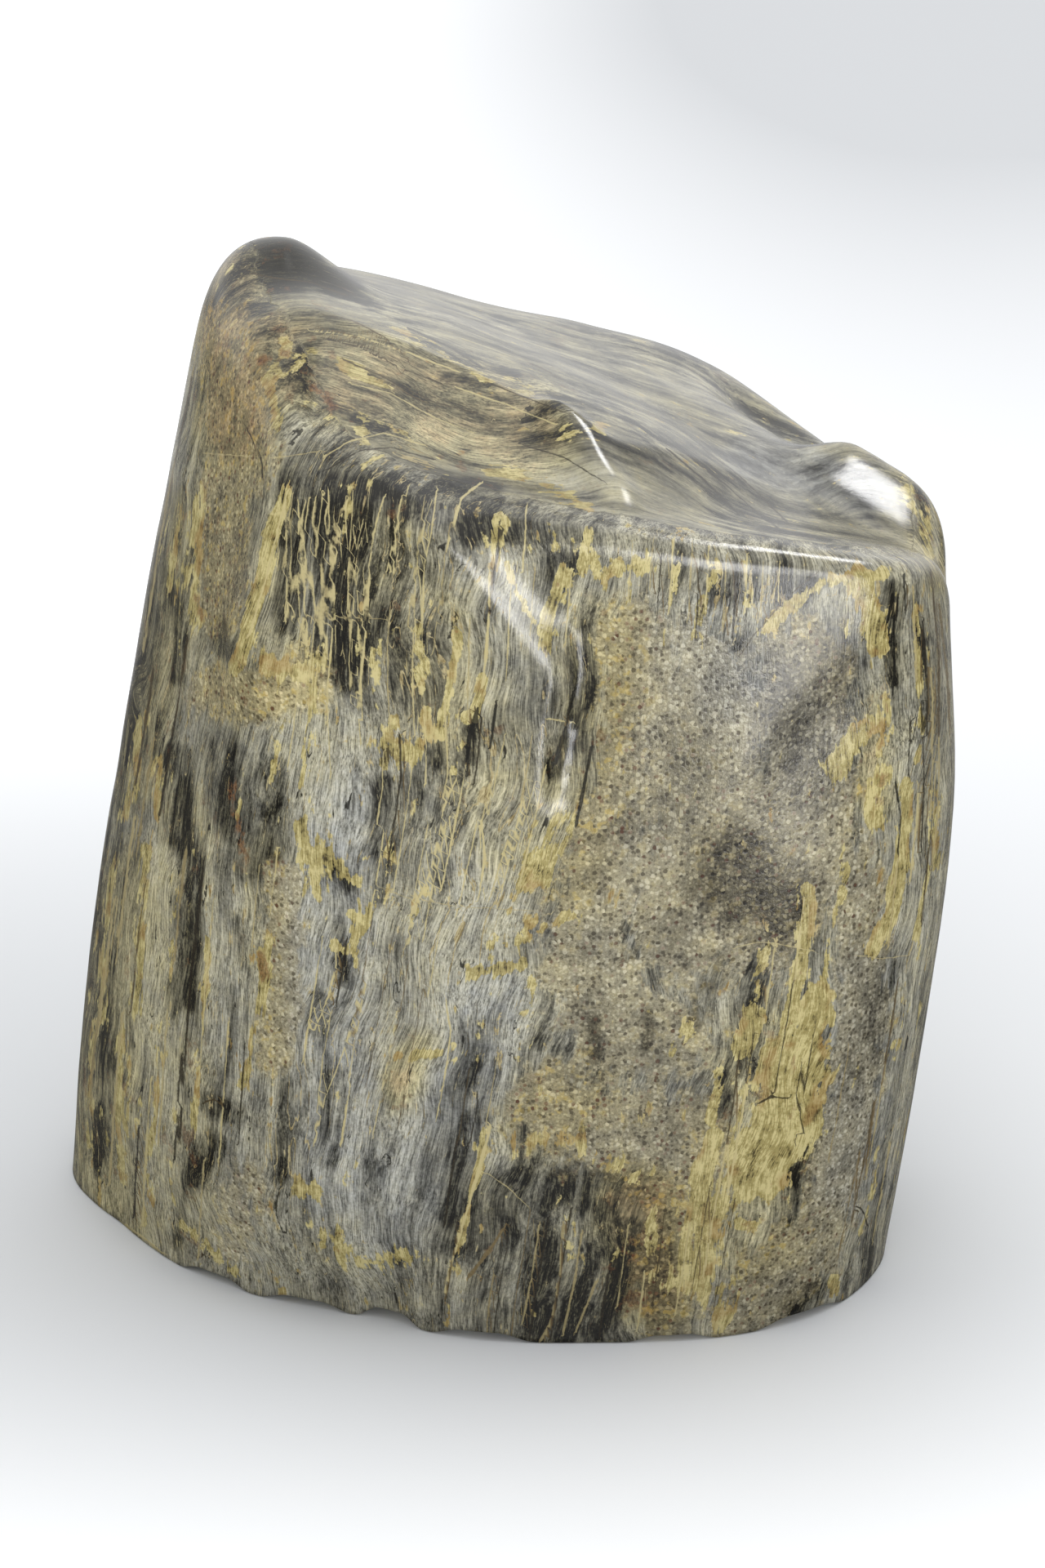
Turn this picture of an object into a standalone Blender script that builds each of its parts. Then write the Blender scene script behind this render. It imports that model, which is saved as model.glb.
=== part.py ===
"""A stump of polished petrified wood: one piece of stone, sawn flat underneath.

The trunk is an upright wall that leans a little to the right. Its top slopes down from a rounded
peak at the back left to a knob at the right. A step is carved along the front of the top: a shelf,
then a riser up to a ridge. Lengths are in metres, +Z is up and the front faces -Y.
"""

import math

import bmesh
import bpy
import numpy as np

NAME = "petrified_wood_stump"

# Where the trunk's upright axis stands, so that the stump's box is centred on the origin
AXIS_X = 0.0116
AXIS_Y = -0.0196

# The trunk's reach from its axis: height, then left, right, front and back
STATIONS = (
    (0.000, 0.220, 0.171, 0.138, 0.186),
    (0.110, 0.207, 0.185, 0.148, 0.190),
    (0.220, 0.188, 0.195, 0.151, 0.190),
    (0.310, 0.171, 0.190, 0.150, 0.186),
    (0.400, 0.151, 0.188, 0.146, 0.182),
    (0.470, 0.136, 0.183, 0.140, 0.176),
)

# The trunk's outline as shares of those reaches, anticlockwise from the right
OUTLINE = (
    (1.00, -0.13),
    (0.99, 0.24),
    (0.84, 0.58),
    (0.54, 0.85),
    (0.14, 0.99),
    (-0.27, 1.00),
    (-0.61, 0.90),
    (-0.88, 0.68),
    (-1.00, 0.34),
    (-0.96, 0.03),
    (-0.81, -0.41),
    (-0.58, -0.79),
    (-0.27, -0.96),
    (0.10, -1.00),
    (0.49, -0.96),
    (0.79, -0.78),
    (0.96, -0.46),
)

# The carved top, in plan from the trunk's axis. Height of the main slope and of the front shelf,
# as constant, x, y, xx, xy and yy terms
MAIN_SLOPE = (0.4194, -0.355, -0.008, -0.71, 0.44, -0.57)
SHELF = (0.4146, -0.45, 0.225, 0.0, -1.98, 0.0)

# Lines across the top, as (x, y): where the riser starts on the shelf, and the ridge that it ends in
RISER_FOOT = (
    (-0.16, -0.130),
    (-0.10, -0.120),
    (-0.05, -0.110),
    (0.03, -0.122),
    (0.10, -0.112),
    (0.20, -0.060),
)
RISER_RIDGE = (
    (-0.16, -0.030),
    (-0.10, -0.040),
    (-0.05, -0.062),
    (0.03, -0.092),
    (0.08, -0.060),
    (0.20, -0.020),
)
# How much of a soft step the riser takes up: under 1, it ends in an edge along the ridge
RISER_SHARE = 0.78

# Swellings of the top: the line that each follows, its height and its half-width
SWELLINGS = (
    (((-0.140, 0.025), (-0.105, 0.020)), 0.017, 0.026),
    (((0.152, 0.012), (0.182, 0.002)), 0.022, 0.025),
    (((0.020, -0.094), (0.036, -0.108), (0.049, -0.128)), 0.006, 0.010),
    (((0.035, 0.135), (0.085, 0.115)), 0.007, 0.036),
    (((-0.020, 0.170), (0.020, 0.175)), -0.007, 0.036),
    (((0.128, 0.070), (0.150, 0.050)), -0.007, 0.020),
    (((-0.020, 0.060), (0.080, -0.020)), -0.003, 0.030),
    (((-0.115, -0.135), (-0.095, -0.130)), -0.011, 0.026),
)

# How broadly the wall rounds over into the top, by bearing in degrees anticlockwise from the right
ROUNDING = (
    (0, 0.020),
    (90, 0.035),
    (170, 0.040),
    (212, 0.040),
    (228, 0.022),
    (255, 0.016),
    (285, 0.011),
    (330, 0.011),
    (345, 0.018),
)

# Forms of the wall: the line that each follows, how far it stands out or sinks in, and its half-width
WALL_FORMS = (
    (((-0.038, -0.150, 0.374), (0.008, -0.150, 0.312), (0.000, -0.150, 0.262)), 0.004, 0.012),
    (((0.028, -0.150, 0.330), (0.023, -0.150, 0.292), (0.014, -0.150, 0.262)), -0.009, 0.013),
    (((0.152, -0.140, 0.335), (0.102, -0.148, 0.296), (0.035, -0.150, 0.200)), 0.003, 0.016),
    (((-0.105, -0.125, 0.400), (-0.118, -0.115, 0.320)), 0.010, 0.030),
    (((-0.118, -0.115, 0.320), (-0.140, -0.100, 0.200)), 0.004, 0.025),
    (((0.155, -0.115, 0.350), (0.165, -0.105, 0.290)), 0.010, 0.032),
    (((-0.200, -0.030, 0.000), (-0.160, -0.080, 0.000), (-0.080, -0.125, 0.000)), -0.015, 0.045),
)

# Broken places along the foot: bearing in degrees, half-width in degrees and height
CHIPS = (
    (208, 5, 0.004),
    (226, 6, 0.004),
    (243, 5, 0.006),
    (262, 7, 0.004),
    (296, 5, 0.003),
    (318, 6, 0.004),
    (20, 8, 0.004),
    (95, 10, 0.005),
    (150, 7, 0.004),
)
CHIP_DEPTH = 0.022

# How the surface's rings are laid out, as shares of the way from the middle of the underside to the
# middle of the top: the foot's edge, the height from which rays fan out over the top, and the rim
FOOT_SHARE = 0.10
FAN_SHARE = 0.44
RIM_SHARE = 0.73
FAN_HEIGHT = 0.235
SEGMENTS = 76
ROWS = 54

STONE_COLOUR = (0.30, 0.28, 0.21, 1.0)
STONE_ROUGHNESS = 0.25


def smooth_curve(points, steps, closed=False):
    """Points on a Catmull-Rom curve through the given ones, steps to each span."""
    points = np.asarray(points, float)
    if closed:
        points = np.vstack([points[-1:], points, points[:2]])
    else:
        points = np.vstack([2 * points[0] - points[1], points, 2 * points[-1] - points[-2]])
    t = (np.arange(steps) / steps)[:, None]
    spans = []
    for a, b, c, d in zip(points, points[1:], points[2:], points[3:]):
        bend = 2 * a - 5 * b + 4 * c - d
        twist = 3 * b - a - 3 * c + d
        spans.append(0.5 * (2 * b + (c - a) * t + bend * t**2 + twist * t**3))
    return np.vstack(spans) if closed else np.vstack([*spans, points[-2]])


def smooth_max(a, b, rounding):
    """The larger of two values, with the corner between them rounded."""
    overlap = np.maximum(rounding - np.abs(a - b), 0) / rounding
    return np.maximum(a, b) + overlap**2 * rounding / 4


def ease(share):
    """A soft step from 0 to 1."""
    share = np.clip(share, 0, 1)
    return share * share * (3 - 2 * share)


def distance_to_line(points, line):
    """Each point's distance to a chain of straight pieces, in the plane or in space."""
    nearest = np.full(len(points), np.inf)
    for start, end in zip(np.asarray(line, float), np.asarray(line[1:], float)):
        along = end - start
        share = np.clip((points - start) @ along / (along @ along), 0, 1)
        nearest = np.minimum(nearest, np.linalg.norm(points - start - share[:, None] * along, axis=1))
    return nearest


def radius_table():
    """Heights, and the wall's radius at each of them for every whole degree of bearing."""
    reaches = smooth_curve(STATIONS, 8)
    outline = smooth_curve(OUTLINE, 12, closed=True)
    rows = []
    for _, left, right, front, back in reaches:
        x = outline[:, 0] * np.where(outline[:, 0] < 0, left, right)
        y = outline[:, 1] * np.where(outline[:, 1] < 0, front, back)
        bearing = np.degrees(np.arctan2(y, x)) % 360
        rows.append(np.interp(np.arange(361), bearing, np.hypot(x, y), period=360))
    return reaches[:, 0], np.array(rows)


TABLE_HEIGHTS, TABLE_RADII = radius_table()


def wall_radius(bearing, height):
    """The trunk's radius at a bearing in degrees and a height."""
    row = np.interp(height, TABLE_HEIGHTS, np.arange(len(TABLE_HEIGHTS)))
    low = np.minimum(row.astype(int), len(TABLE_HEIGHTS) - 2)
    column = bearing % 360
    left = column.astype(int)
    up, across = row - low, column - left
    right = left + 1
    below = TABLE_RADII[low, left] * (1 - across) + TABLE_RADII[low, right] * across
    above = TABLE_RADII[low + 1, left] * (1 - across) + TABLE_RADII[low + 1, right] * across
    return below * (1 - up) + above * up


def slope_height(terms, x, y):
    constant, along_x, along_y, xx, xy, yy = terms
    return constant + along_x * x + along_y * y + xx * x * x + xy * x * y + yy * y * y


def top_height(x, y):
    """Height of the carved top over a point of the plan."""
    foot = np.interp(x, *smooth_curve(RISER_FOOT, 8).T)
    ridge = np.interp(x, *smooth_curve(RISER_RIDGE, 8).T)
    step = ease(RISER_SHARE * np.clip((y - foot) / (ridge - foot), 0, 1)) / ease(RISER_SHARE)
    shelf = slope_height(SHELF, x, y)
    height = shelf + (slope_height(MAIN_SLOPE, x, y) - shelf) * step
    plan = np.column_stack([x, y])
    for line, rise, half_width in SWELLINGS:
        height = height + rise * np.exp(-((distance_to_line(plan, line) / half_width) ** 2))
    return height


def depth_outside(points):
    """Roughly how far points lie outside the stump's wall and top, below zero inside it."""
    x, y, z = points.T
    bearing = np.degrees(np.arctan2(y, x)) % 360
    wall = np.hypot(x, y) - wall_radius(bearing, z)
    for line, stand_out, half_width in WALL_FORMS:
        wall = wall - stand_out * np.exp(-((distance_to_line(points, line) / half_width) ** 2))
    rounding = np.interp(bearing, *np.array(ROUNDING, float).T, period=360)
    return smooth_max(wall, 0.85 * (z - top_height(x, y)), rounding)


def chip_height(bearing):
    """How far the foot's edge is broken away above the floor at a bearing in degrees."""
    height = np.zeros_like(bearing)
    for middle, half_width, rise in CHIPS:
        turn = (bearing - middle + 180) % 360 - 180
        height = np.maximum(height, rise * ease(1.5 - np.abs(turn) / half_width))
    return height


def rim_tilt(bearing):
    """The angle above level at which the rim is seen from the axis, at a bearing in degrees."""
    height = np.full_like(bearing, 0.40)
    for _ in range(12):
        radius = wall_radius(bearing, height)
        x, y = radius * np.cos(np.radians(bearing)), radius * np.sin(np.radians(bearing))
        height = (height + top_height(x, y)) / 2
    return np.arctan2(height - FAN_HEIGHT, radius)


def surface_points(bearing, share):
    """Points of the stump's skin: share runs from the underside's middle, out, up and over the top."""
    radians = np.radians(bearing)
    lift = chip_height(bearing)
    climb = (share - FOOT_SHARE) / (FAN_SHARE - FOOT_SHARE)
    start = lift + (FAN_HEIGHT - lift) * np.clip(climb, 0, 1)
    to_rim = np.clip((share - FAN_SHARE) / (RIM_SHARE - FAN_SHARE), 0, 1)
    past_rim = np.clip((share - RIM_SHARE) / (1 - RIM_SHARE), 0, 1)
    rim = rim_tilt(bearing)
    tilt = rim * (1 - (1 - to_rim) ** 1.3) + (math.pi / 2 - rim) * past_rim**1.3
    heading = np.column_stack([np.cos(tilt) * np.cos(radians), np.cos(tilt) * np.sin(radians), np.sin(tilt)])
    middle = np.column_stack([np.zeros_like(start), np.zeros_like(start), start])
    near, far = np.full(len(start), 0.05), np.full(len(start), 0.40)
    for _ in range(26):
        reach = (near + far) / 2
        outside = depth_outside(middle + heading * reach[:, None]) > 0
        near, far = np.where(outside, near, reach), np.where(outside, reach, far)
    points = middle + heading * ((near + far) / 2)[:, None]
    under = share < FOOT_SHARE
    spread = np.clip(share / FOOT_SHARE, 0, 1)
    gap = (np.hypot(points[:, 0], points[:, 1]) * (1 - spread))[under]
    points[under, :2] *= spread[under, None]
    points[under, 2] = lift[under] * ease(1 - gap / CHIP_DEPTH)
    return points


def stump_mesh():
    """A globe whose rings are moved out to the stump's skin."""
    shell = bmesh.new()
    bmesh.ops.create_uvsphere(shell, u_segments=SEGMENTS, v_segments=ROWS, radius=1)
    globe = np.array([vert.co for vert in shell.verts])
    bearing = np.degrees(np.arctan2(globe[:, 1], globe[:, 0])) % 360
    share = np.degrees(np.arcsin(np.clip(globe[:, 2], -1, 1))) / 180 + 0.5
    for vert, point in zip(shell.verts, surface_points(bearing, share)):
        vert.co = (point[0] + AXIS_X, point[1] + AXIS_Y, point[2])
    bmesh.ops.triangulate(shell, faces=shell.faces)
    mesh = bpy.data.meshes.new(NAME)
    shell.to_mesh(mesh)
    shell.free()
    mesh.shade_smooth()
    return mesh


def stone_material():
    material = bpy.data.materials.new("polished_stone")
    material.use_nodes = True
    shader = material.node_tree.nodes["Principled BSDF"]
    shader.inputs["Base Color"].default_value = STONE_COLOUR
    shader.inputs["Roughness"].default_value = STONE_ROUGHNESS
    shader.inputs["Metallic"].default_value = 0.0
    return material


def main():
    for old in list(bpy.data.objects):
        bpy.data.objects.remove(old)
    collection = bpy.data.collections.new("petrified_wood")
    bpy.context.scene.collection.children.link(collection)
    stump = bpy.data.objects.new(NAME, stump_mesh())
    stump.data.materials.append(stone_material())
    collection.objects.link(stump)


main()
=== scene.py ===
"""A polished stump of petrified wood on a pale studio floor.

The stump's fine surface is moved out from a globe onto the same form as its solid, with the uneven
polish and the broken foot added. Its stone is procedural: grain that follows the trunk, granular
areas, veins and stains, laid out by strokes that are named by where they are in the photograph.
"""

import itertools
import math

import bmesh
import bpy
import numpy as np
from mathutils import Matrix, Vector


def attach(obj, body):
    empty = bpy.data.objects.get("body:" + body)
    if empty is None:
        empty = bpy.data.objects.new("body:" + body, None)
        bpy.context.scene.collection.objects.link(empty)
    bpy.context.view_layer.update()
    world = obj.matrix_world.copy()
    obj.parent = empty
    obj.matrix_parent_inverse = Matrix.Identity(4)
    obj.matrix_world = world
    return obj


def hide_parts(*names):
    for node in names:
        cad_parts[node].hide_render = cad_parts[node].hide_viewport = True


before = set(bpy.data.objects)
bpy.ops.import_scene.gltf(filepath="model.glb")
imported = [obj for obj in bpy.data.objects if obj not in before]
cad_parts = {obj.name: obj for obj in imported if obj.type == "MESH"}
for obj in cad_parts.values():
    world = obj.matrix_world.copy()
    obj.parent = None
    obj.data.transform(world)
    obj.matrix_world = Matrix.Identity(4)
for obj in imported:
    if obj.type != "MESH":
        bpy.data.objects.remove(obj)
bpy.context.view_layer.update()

NODE = "petrified_wood_stump"

# The camera, which looks along +Y, and the photograph's size and focal length in pixels
PHOTO_WIDTH = 1280
PHOTO_HEIGHT = 1920
FOCAL_PIXELS = 4800
CAMERA_DISTANCE = 1.80
CAMERA_ELEVATION = math.radians(19)
CAMERA_TARGET_HEIGHT = 0.215
SENSOR_WIDTH = 36

# The form: the same as the stump's solid, but for the front wall's forms, which were refined here
AXIS_X = 0.0116
AXIS_Y = -0.0196

# The trunk's reach from its axis: height, then left, right, front and back
STATIONS = (
    (0.000, 0.220, 0.171, 0.138, 0.186),
    (0.110, 0.207, 0.185, 0.148, 0.190),
    (0.220, 0.188, 0.195, 0.151, 0.190),
    (0.310, 0.171, 0.190, 0.150, 0.186),
    (0.400, 0.151, 0.188, 0.146, 0.182),
    (0.470, 0.136, 0.183, 0.140, 0.176),
)

# The trunk's outline as shares of those reaches, anticlockwise from the right
OUTLINE = (
    (1, -0.13), (0.99, 0.24), (0.84, 0.58), (0.54, 0.85), (0.14, 0.99), (-0.27, 1), (-0.61, 0.9),
    (-0.88, 0.68), (-1, 0.34), (-0.96, 0.03), (-0.81, -0.41), (-0.58, -0.79), (-0.27, -0.96), (0.1, -1),
    (0.49, -0.96), (0.79, -0.78), (0.96, -0.46),
)

# Height of the main slope and of the front shelf, as constant, x, y, xx, xy and yy terms
MAIN_SLOPE = (0.4194, -0.355, -0.008, -0.71, 0.44, -0.57)
SHELF = (0.4146, -0.45, 0.225, 0.0, -1.98, 0.0)
RISER_FOOT = (
    (-0.16, -0.13), (-0.1, -0.12), (-0.05, -0.11), (0.03, -0.122), (0.1, -0.112), (0.2, -0.06),
)
RISER_RIDGE = (
    (-0.16, -0.03), (-0.1, -0.04), (-0.05, -0.062), (0.03, -0.092), (0.08, -0.06), (0.2, -0.02),
)
RISER_SHARE = 0.64

# Swellings of the top: the line that each follows, its height and its half-width
SWELLINGS = (
    (((-0.140, 0.025), (-0.105, 0.020)), 0.017, 0.026),
    (((0.152, 0.012), (0.182, 0.002)), 0.022, 0.025),
    (((0.016, -0.088), (0.030, -0.103), (0.040, -0.115)), 0.006, 0.010),
    (((0.035, 0.135), (0.085, 0.115)), 0.007, 0.036),
    (((-0.020, 0.170), (0.020, 0.175)), -0.007, 0.036),
    (((-0.005, 0.145), (0.030, 0.145)), -0.005, 0.028),
    (((0.112, 0.090), (0.135, 0.072), (0.152, 0.050)), -0.012, 0.024),
    (((-0.020, 0.060), (0.080, -0.020)), -0.003, 0.030),
    (((-0.115, -0.135), (-0.095, -0.130)), -0.011, 0.026),
)

# How broadly the wall rounds over into the top, by bearing in degrees anticlockwise from the right
ROUNDING = (
    (0, 0.02), (90, 0.035), (170, 0.036), (212, 0.038), (228, 0.022), (255, 0.016), (285, 0.011),
    (330, 0.011), (345, 0.018),
)

# Forms of the wall: the line that each follows, how far it stands out or sinks in, and its half-width
WALL_FORMS = (
    (((-0.070, -0.150, 0.390), (-0.038, -0.150, 0.374), (0.008, -0.150, 0.318)), 0.004, 0.016),
    (((-0.038, -0.150, 0.374), (0.010, -0.150, 0.312), (0.000, -0.150, 0.262)), 0.004, 0.010),
    (((0.028, -0.150, 0.330), (0.023, -0.150, 0.294)), -0.007, 0.012),
    (((0.027, -0.150, 0.318), (0.018, -0.150, 0.272)), -0.004, 0.012),
    (((0.020, -0.150, 0.286), (0.004, -0.150, 0.225)), -0.003, 0.011),
    (((0.152, -0.140, 0.335), (0.102, -0.148, 0.296), (0.035, -0.150, 0.200)), 0.003, 0.016),
    (((-0.105, -0.125, 0.400), (-0.118, -0.115, 0.320)), 0.010, 0.030),
    (((-0.118, -0.115, 0.320), (-0.140, -0.100, 0.200)), 0.004, 0.025),
    (((0.155, -0.115, 0.350), (0.165, -0.105, 0.290)), 0.010, 0.032),
    (((-0.200, -0.030, 0.000), (-0.160, -0.080, 0.000), (-0.080, -0.125, 0.000)), -0.015, 0.045),
    (((-0.140, -0.105, 0.000), (-0.085, -0.125, 0.000)), -0.009, 0.028),
    (((-0.060, -0.150, 0.245), (0.010, -0.150, 0.240)), 0.007, 0.050),
    (((0.008, -0.150, 0.316), (0.004, -0.150, 0.290), (-0.006, -0.150, 0.255)), 0.0025, 0.016),
    (((0.006, -0.150, 0.299), (-0.006, -0.150, 0.255)), 0.0025, 0.016),
    (((0.000, -0.150, 0.282), (-0.006, -0.150, 0.255)), 0.0025, 0.016),
    (((0.010, -0.150, 0.322), (0.009, -0.150, 0.300), (0.002, -0.150, 0.275)), 0.0015, 0.006),
)

# Broken places along the foot: bearing in degrees, half-width in degrees and height
CHIPS = (
    (208, 5, 0.004), (226, 6, 0.004), (243, 5, 0.006), (262, 7, 0.004), (296, 5, 0.003), (318, 6, 0.004),
    (20, 8, 0.004), (95, 10, 0.005), (150, 7, 0.004),
)
CHIP_DEPTH = 0.022

# How far a point above the top counts as outside, next to one beside the wall
TOP_WEIGHT = 0.85

# The unevenness of the polish: how far it moves the skin, over what size, and the noise's seed
POLISH_WAVES = ((0.0007, 0.060, 1), (0.0003, 0.022, 2))

# How the fine surface's rings are laid out, and how much closer its columns are at the front
FOOT_SHARE = 0.05
FAN_SHARE = 0.46
RIM_SHARE = 0.75
FAN_HEIGHT = 0.235
SEGMENTS = 356
ROWS = 278
FRONT_CROWDING = 0.45
RIM_CROWDING = 1.15

# Between what distances from the axis the skin is looked for, and in how many halvings
SKIN_RANGE = (0.05, 0.40)
SKIN_HALVINGS = 22

# The rim's height is found from this one, in so many steps
RIM_START = 0.40
RIM_STEPS = 12

# Lines along which the grain runs down the front: x and y of each of the photograph's pixels passed
GRAIN_LINES = (
    (245, 380, 216, 530, 191, 650, 171, 770, 147, 920, 130, 1040, 112, 1190, 97, 1310, 96, 1410),
    (262, 430, 240, 560, 222, 700, 205, 850, 180, 1000, 160, 1150, 145, 1300, 135, 1450),
    (345, 600, 318, 700, 285, 800, 262, 900, 240, 1050, 225, 1200, 215, 1350, 205, 1500),
    (385, 600, 375, 700, 362, 800, 345, 940, 325, 1050, 310, 1200, 300, 1350, 285, 1560),
    (450, 610, 430, 700, 418, 800, 425, 930, 415, 1050, 400, 1150, 375, 1300, 350, 1580),
    (555, 610, 540, 700, 540, 850, 545, 950, 515, 1100, 490, 1250, 460, 1400, 430, 1590),
    (640, 630, 632, 750, 625, 880, 600, 1000, 565, 1150, 540, 1300, 525, 1400, 500, 1610),
    (715, 640, 700, 800, 690, 950, 660, 1080, 625, 1250, 600, 1400, 565, 1610),
    (800, 660, 790, 800, 770, 1000, 735, 1200, 705, 1400, 665, 1640),
    (900, 690, 890, 850, 880, 1000, 850, 1200, 820, 1400, 790, 1630),
    (1000, 705, 995, 850, 985, 1000, 960, 1200, 925, 1400, 880, 1620),
    (1060, 710, 1070, 850, 1062, 1000, 1045, 1200, 1010, 1400, 960, 1600),
    (1105, 700, 1108, 850, 1102, 1000, 1080, 1200, 1050, 1400, 1010, 1590),
    (1150, 730, 1164, 850, 1166, 980, 1150, 1130, 1133, 1240, 1105, 1400, 1085, 1520),
)
GRAIN_HEIGHT = 0.20
GRAIN_LEVELS = np.linspace(0, 0.5, 51)
BACK_BEARINGS = (30, 60, 90, 120, 150)

# How far the camera's rays are followed, and when they have met the skin
RAY_RANGE = (1.45, 2.1)
RAY_STEPS = 400
SHORTEST_STEP = 0.0006
SKIN_MET = 0.0003


# The photograph's pixels and the form
BACK_DIRECTION = np.array([0, -math.cos(CAMERA_ELEVATION), math.sin(CAMERA_ELEVATION)])
CAMERA_PLACE = np.array([0, 0, CAMERA_TARGET_HEIGHT]) + BACK_DIRECTION * CAMERA_DISTANCE
CAMERA_UP = np.array([0, math.sin(CAMERA_ELEVATION), math.cos(CAMERA_ELEVATION)])


def to_pixels(points):
    """Where points, measured from the trunk's axis, are in the photograph."""
    ray = points - CAMERA_PLACE
    depth = ray @ -BACK_DIRECTION
    across = PHOTO_WIDTH / 2 + FOCAL_PIXELS * ray[:, 0] / depth
    down = PHOTO_HEIGHT / 2 - FOCAL_PIXELS * (ray @ CAMERA_UP) / depth
    return np.column_stack([across, down])


def smooth_curve(points, steps, closed=False):
    """Points on a Catmull-Rom curve through the given ones, steps to each span."""
    points = np.asarray(points, float)
    if closed:
        points = np.vstack([points[-1:], points, points[:2]])
    else:
        points = np.vstack([2 * points[0] - points[1], points, 2 * points[-1] - points[-2]])
    t = (np.arange(steps) / steps)[:, None]
    spans = []
    for a, b, c, d in zip(points, points[1:], points[2:], points[3:]):
        bend = 2 * a - 5 * b + 4 * c - d
        twist = 3 * b - a - 3 * c + d
        spans.append(0.5 * (2 * b + (c - a) * t + bend * t**2 + twist * t**3))
    return np.vstack(spans) if closed else np.vstack([*spans, points[-2]])


def smooth_max(a, b, rounding):
    """The larger of two values, with the corner between them rounded."""
    overlap = np.maximum(rounding - np.abs(a - b), 0) / rounding
    return np.maximum(a, b) + overlap**2 * rounding / 4


def ease(share):
    """A soft step from 0 to 1."""
    share = np.clip(share, 0, 1)
    return share * share * (3 - 2 * share)


def distance_to_line(points, line):
    """Each point's distance to a chain of straight pieces, in the plane or in space."""
    line = np.asarray(line, float)
    nearest = np.full(len(points), np.inf)
    for start, end in zip(line, line[1:]):
        along = end - start
        share = np.clip((points - start) @ along / (along @ along), 0, 1)
        nearest = np.minimum(nearest, np.linalg.norm(points - start - share[:, None] * along, axis=1))
    return nearest


# The noise's whole numbers: what each axis's steps and the mixing multiply by, kept to 32 bits
HASH_STEPS = (374761393, 668265263, 2147483647)
HASH_FACTOR = 1274126177
WORD = 0xFFFFFFFF
SEED_STEP = 17.3


def soft_noise(points, size, seed=0):
    """Smooth random values from -1 to 1 that change over about size."""
    place = points / size + seed * SEED_STEP
    cell = np.floor(place).astype(np.int64)
    share = ease(place - cell)
    total = np.zeros(len(points))
    for corner in itertools.product((0, 1), repeat=3):
        mixed = (cell + np.array(corner)) @ np.array(HASH_STEPS) & WORD
        mixed = (mixed ^ (mixed >> 13)) * HASH_FACTOR & WORD
        mixed = (mixed ^ (mixed >> 16)) & 0xFFFF
        weight = np.prod(np.where(corner, share, 1 - share), axis=1)
        total += weight * (mixed / 32767.5 - 1)
    return total


def radius_table():
    """Heights, and the wall's radius at each of them for every whole degree of bearing."""
    reaches = smooth_curve(STATIONS, 8)
    outline = smooth_curve(OUTLINE, 12, closed=True)
    rows = []
    for _, left, right, front, back in reaches:
        x = outline[:, 0] * np.where(outline[:, 0] < 0, left, right)
        y = outline[:, 1] * np.where(outline[:, 1] < 0, front, back)
        bearing = np.degrees(np.arctan2(y, x)) % 360
        rows.append(np.interp(np.arange(361), bearing, np.hypot(x, y), period=360))
    return reaches[:, 0], np.array(rows)


TABLE_HEIGHTS, TABLE_RADII = radius_table()


def look_up(heights, rows, bearing, height):
    """A value from rows of one value a degree, one row to each of the heights."""
    row = np.interp(height, heights, np.arange(len(heights)))
    low = np.minimum(row.astype(int), len(heights) - 2)
    column = bearing % 360
    left = column.astype(int)
    up, across = row - low, column - left
    right = left + 1
    below = rows[low, left] * (1 - across) + rows[low, right] * across
    above = rows[low + 1, left] * (1 - across) + rows[low + 1, right] * across
    return below * (1 - up) + above * up


def wall_radius(bearing, height):
    """The trunk's radius at a bearing in degrees and a height."""
    return look_up(TABLE_HEIGHTS, TABLE_RADII, bearing, height)


def swell(points, line, half_width):
    """1 on a line, fading away to both its sides."""
    return np.exp(-((distance_to_line(points, line) / half_width) ** 2))


def depth_inside(points):
    """How far points lie inside the plain trunk's wall."""
    return wall_radius(bearing_of(points), points[:, 2]) - np.hypot(points[:, 0], points[:, 1])


def slope_height(terms, x, y):
    """Height of a curved slope over a point of the plan."""
    constant, along_x, along_y, xx, xy, yy = terms
    return constant + along_x * x + along_y * y + xx * x * x + xy * x * y + yy * y * y


def top_height(x, y):
    """Height of the carved top over a point of the plan."""
    foot = np.interp(x, *smooth_curve(RISER_FOOT, 8).T)
    ridge = np.interp(x, *smooth_curve(RISER_RIDGE, 8).T)
    step = ease(RISER_SHARE * np.clip((y - foot) / (ridge - foot), 0, 1)) / ease(RISER_SHARE)
    shelf = slope_height(SHELF, x, y)
    height = shelf + (slope_height(MAIN_SLOPE, x, y) - shelf) * step
    plan = np.column_stack([x, y])
    for line, rise, half_width in SWELLINGS:
        height = height + rise * swell(plan, line, half_width)
    return height


def bearing_of(points):
    """Degrees anticlockwise from the right, seen from above."""
    return np.degrees(np.arctan2(points[:, 1], points[:, 0])) % 360


def depth_outside(points):
    """Roughly how far points lie outside the stump's wall and top, below zero inside it."""
    x, y, z = points.T
    bearing = bearing_of(points)
    wall = np.hypot(x, y) - wall_radius(bearing, z)
    for line, stand_out, half_width in WALL_FORMS:
        wall = wall - stand_out * swell(points, line, half_width)
    rounding = np.interp(bearing, *np.array(ROUNDING, float).T, period=360)
    return smooth_max(wall, TOP_WEIGHT * (z - top_height(x, y)), rounding)


def chip_height(bearing):
    """How far the foot's edge is broken away above the floor at a bearing in degrees."""
    height = np.zeros_like(bearing)
    for middle, half_width, rise in CHIPS:
        turn = (bearing - middle + 180) % 360 - 180
        height = np.maximum(height, rise * ease(1.5 - np.abs(turn) / half_width))
    return height


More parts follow.
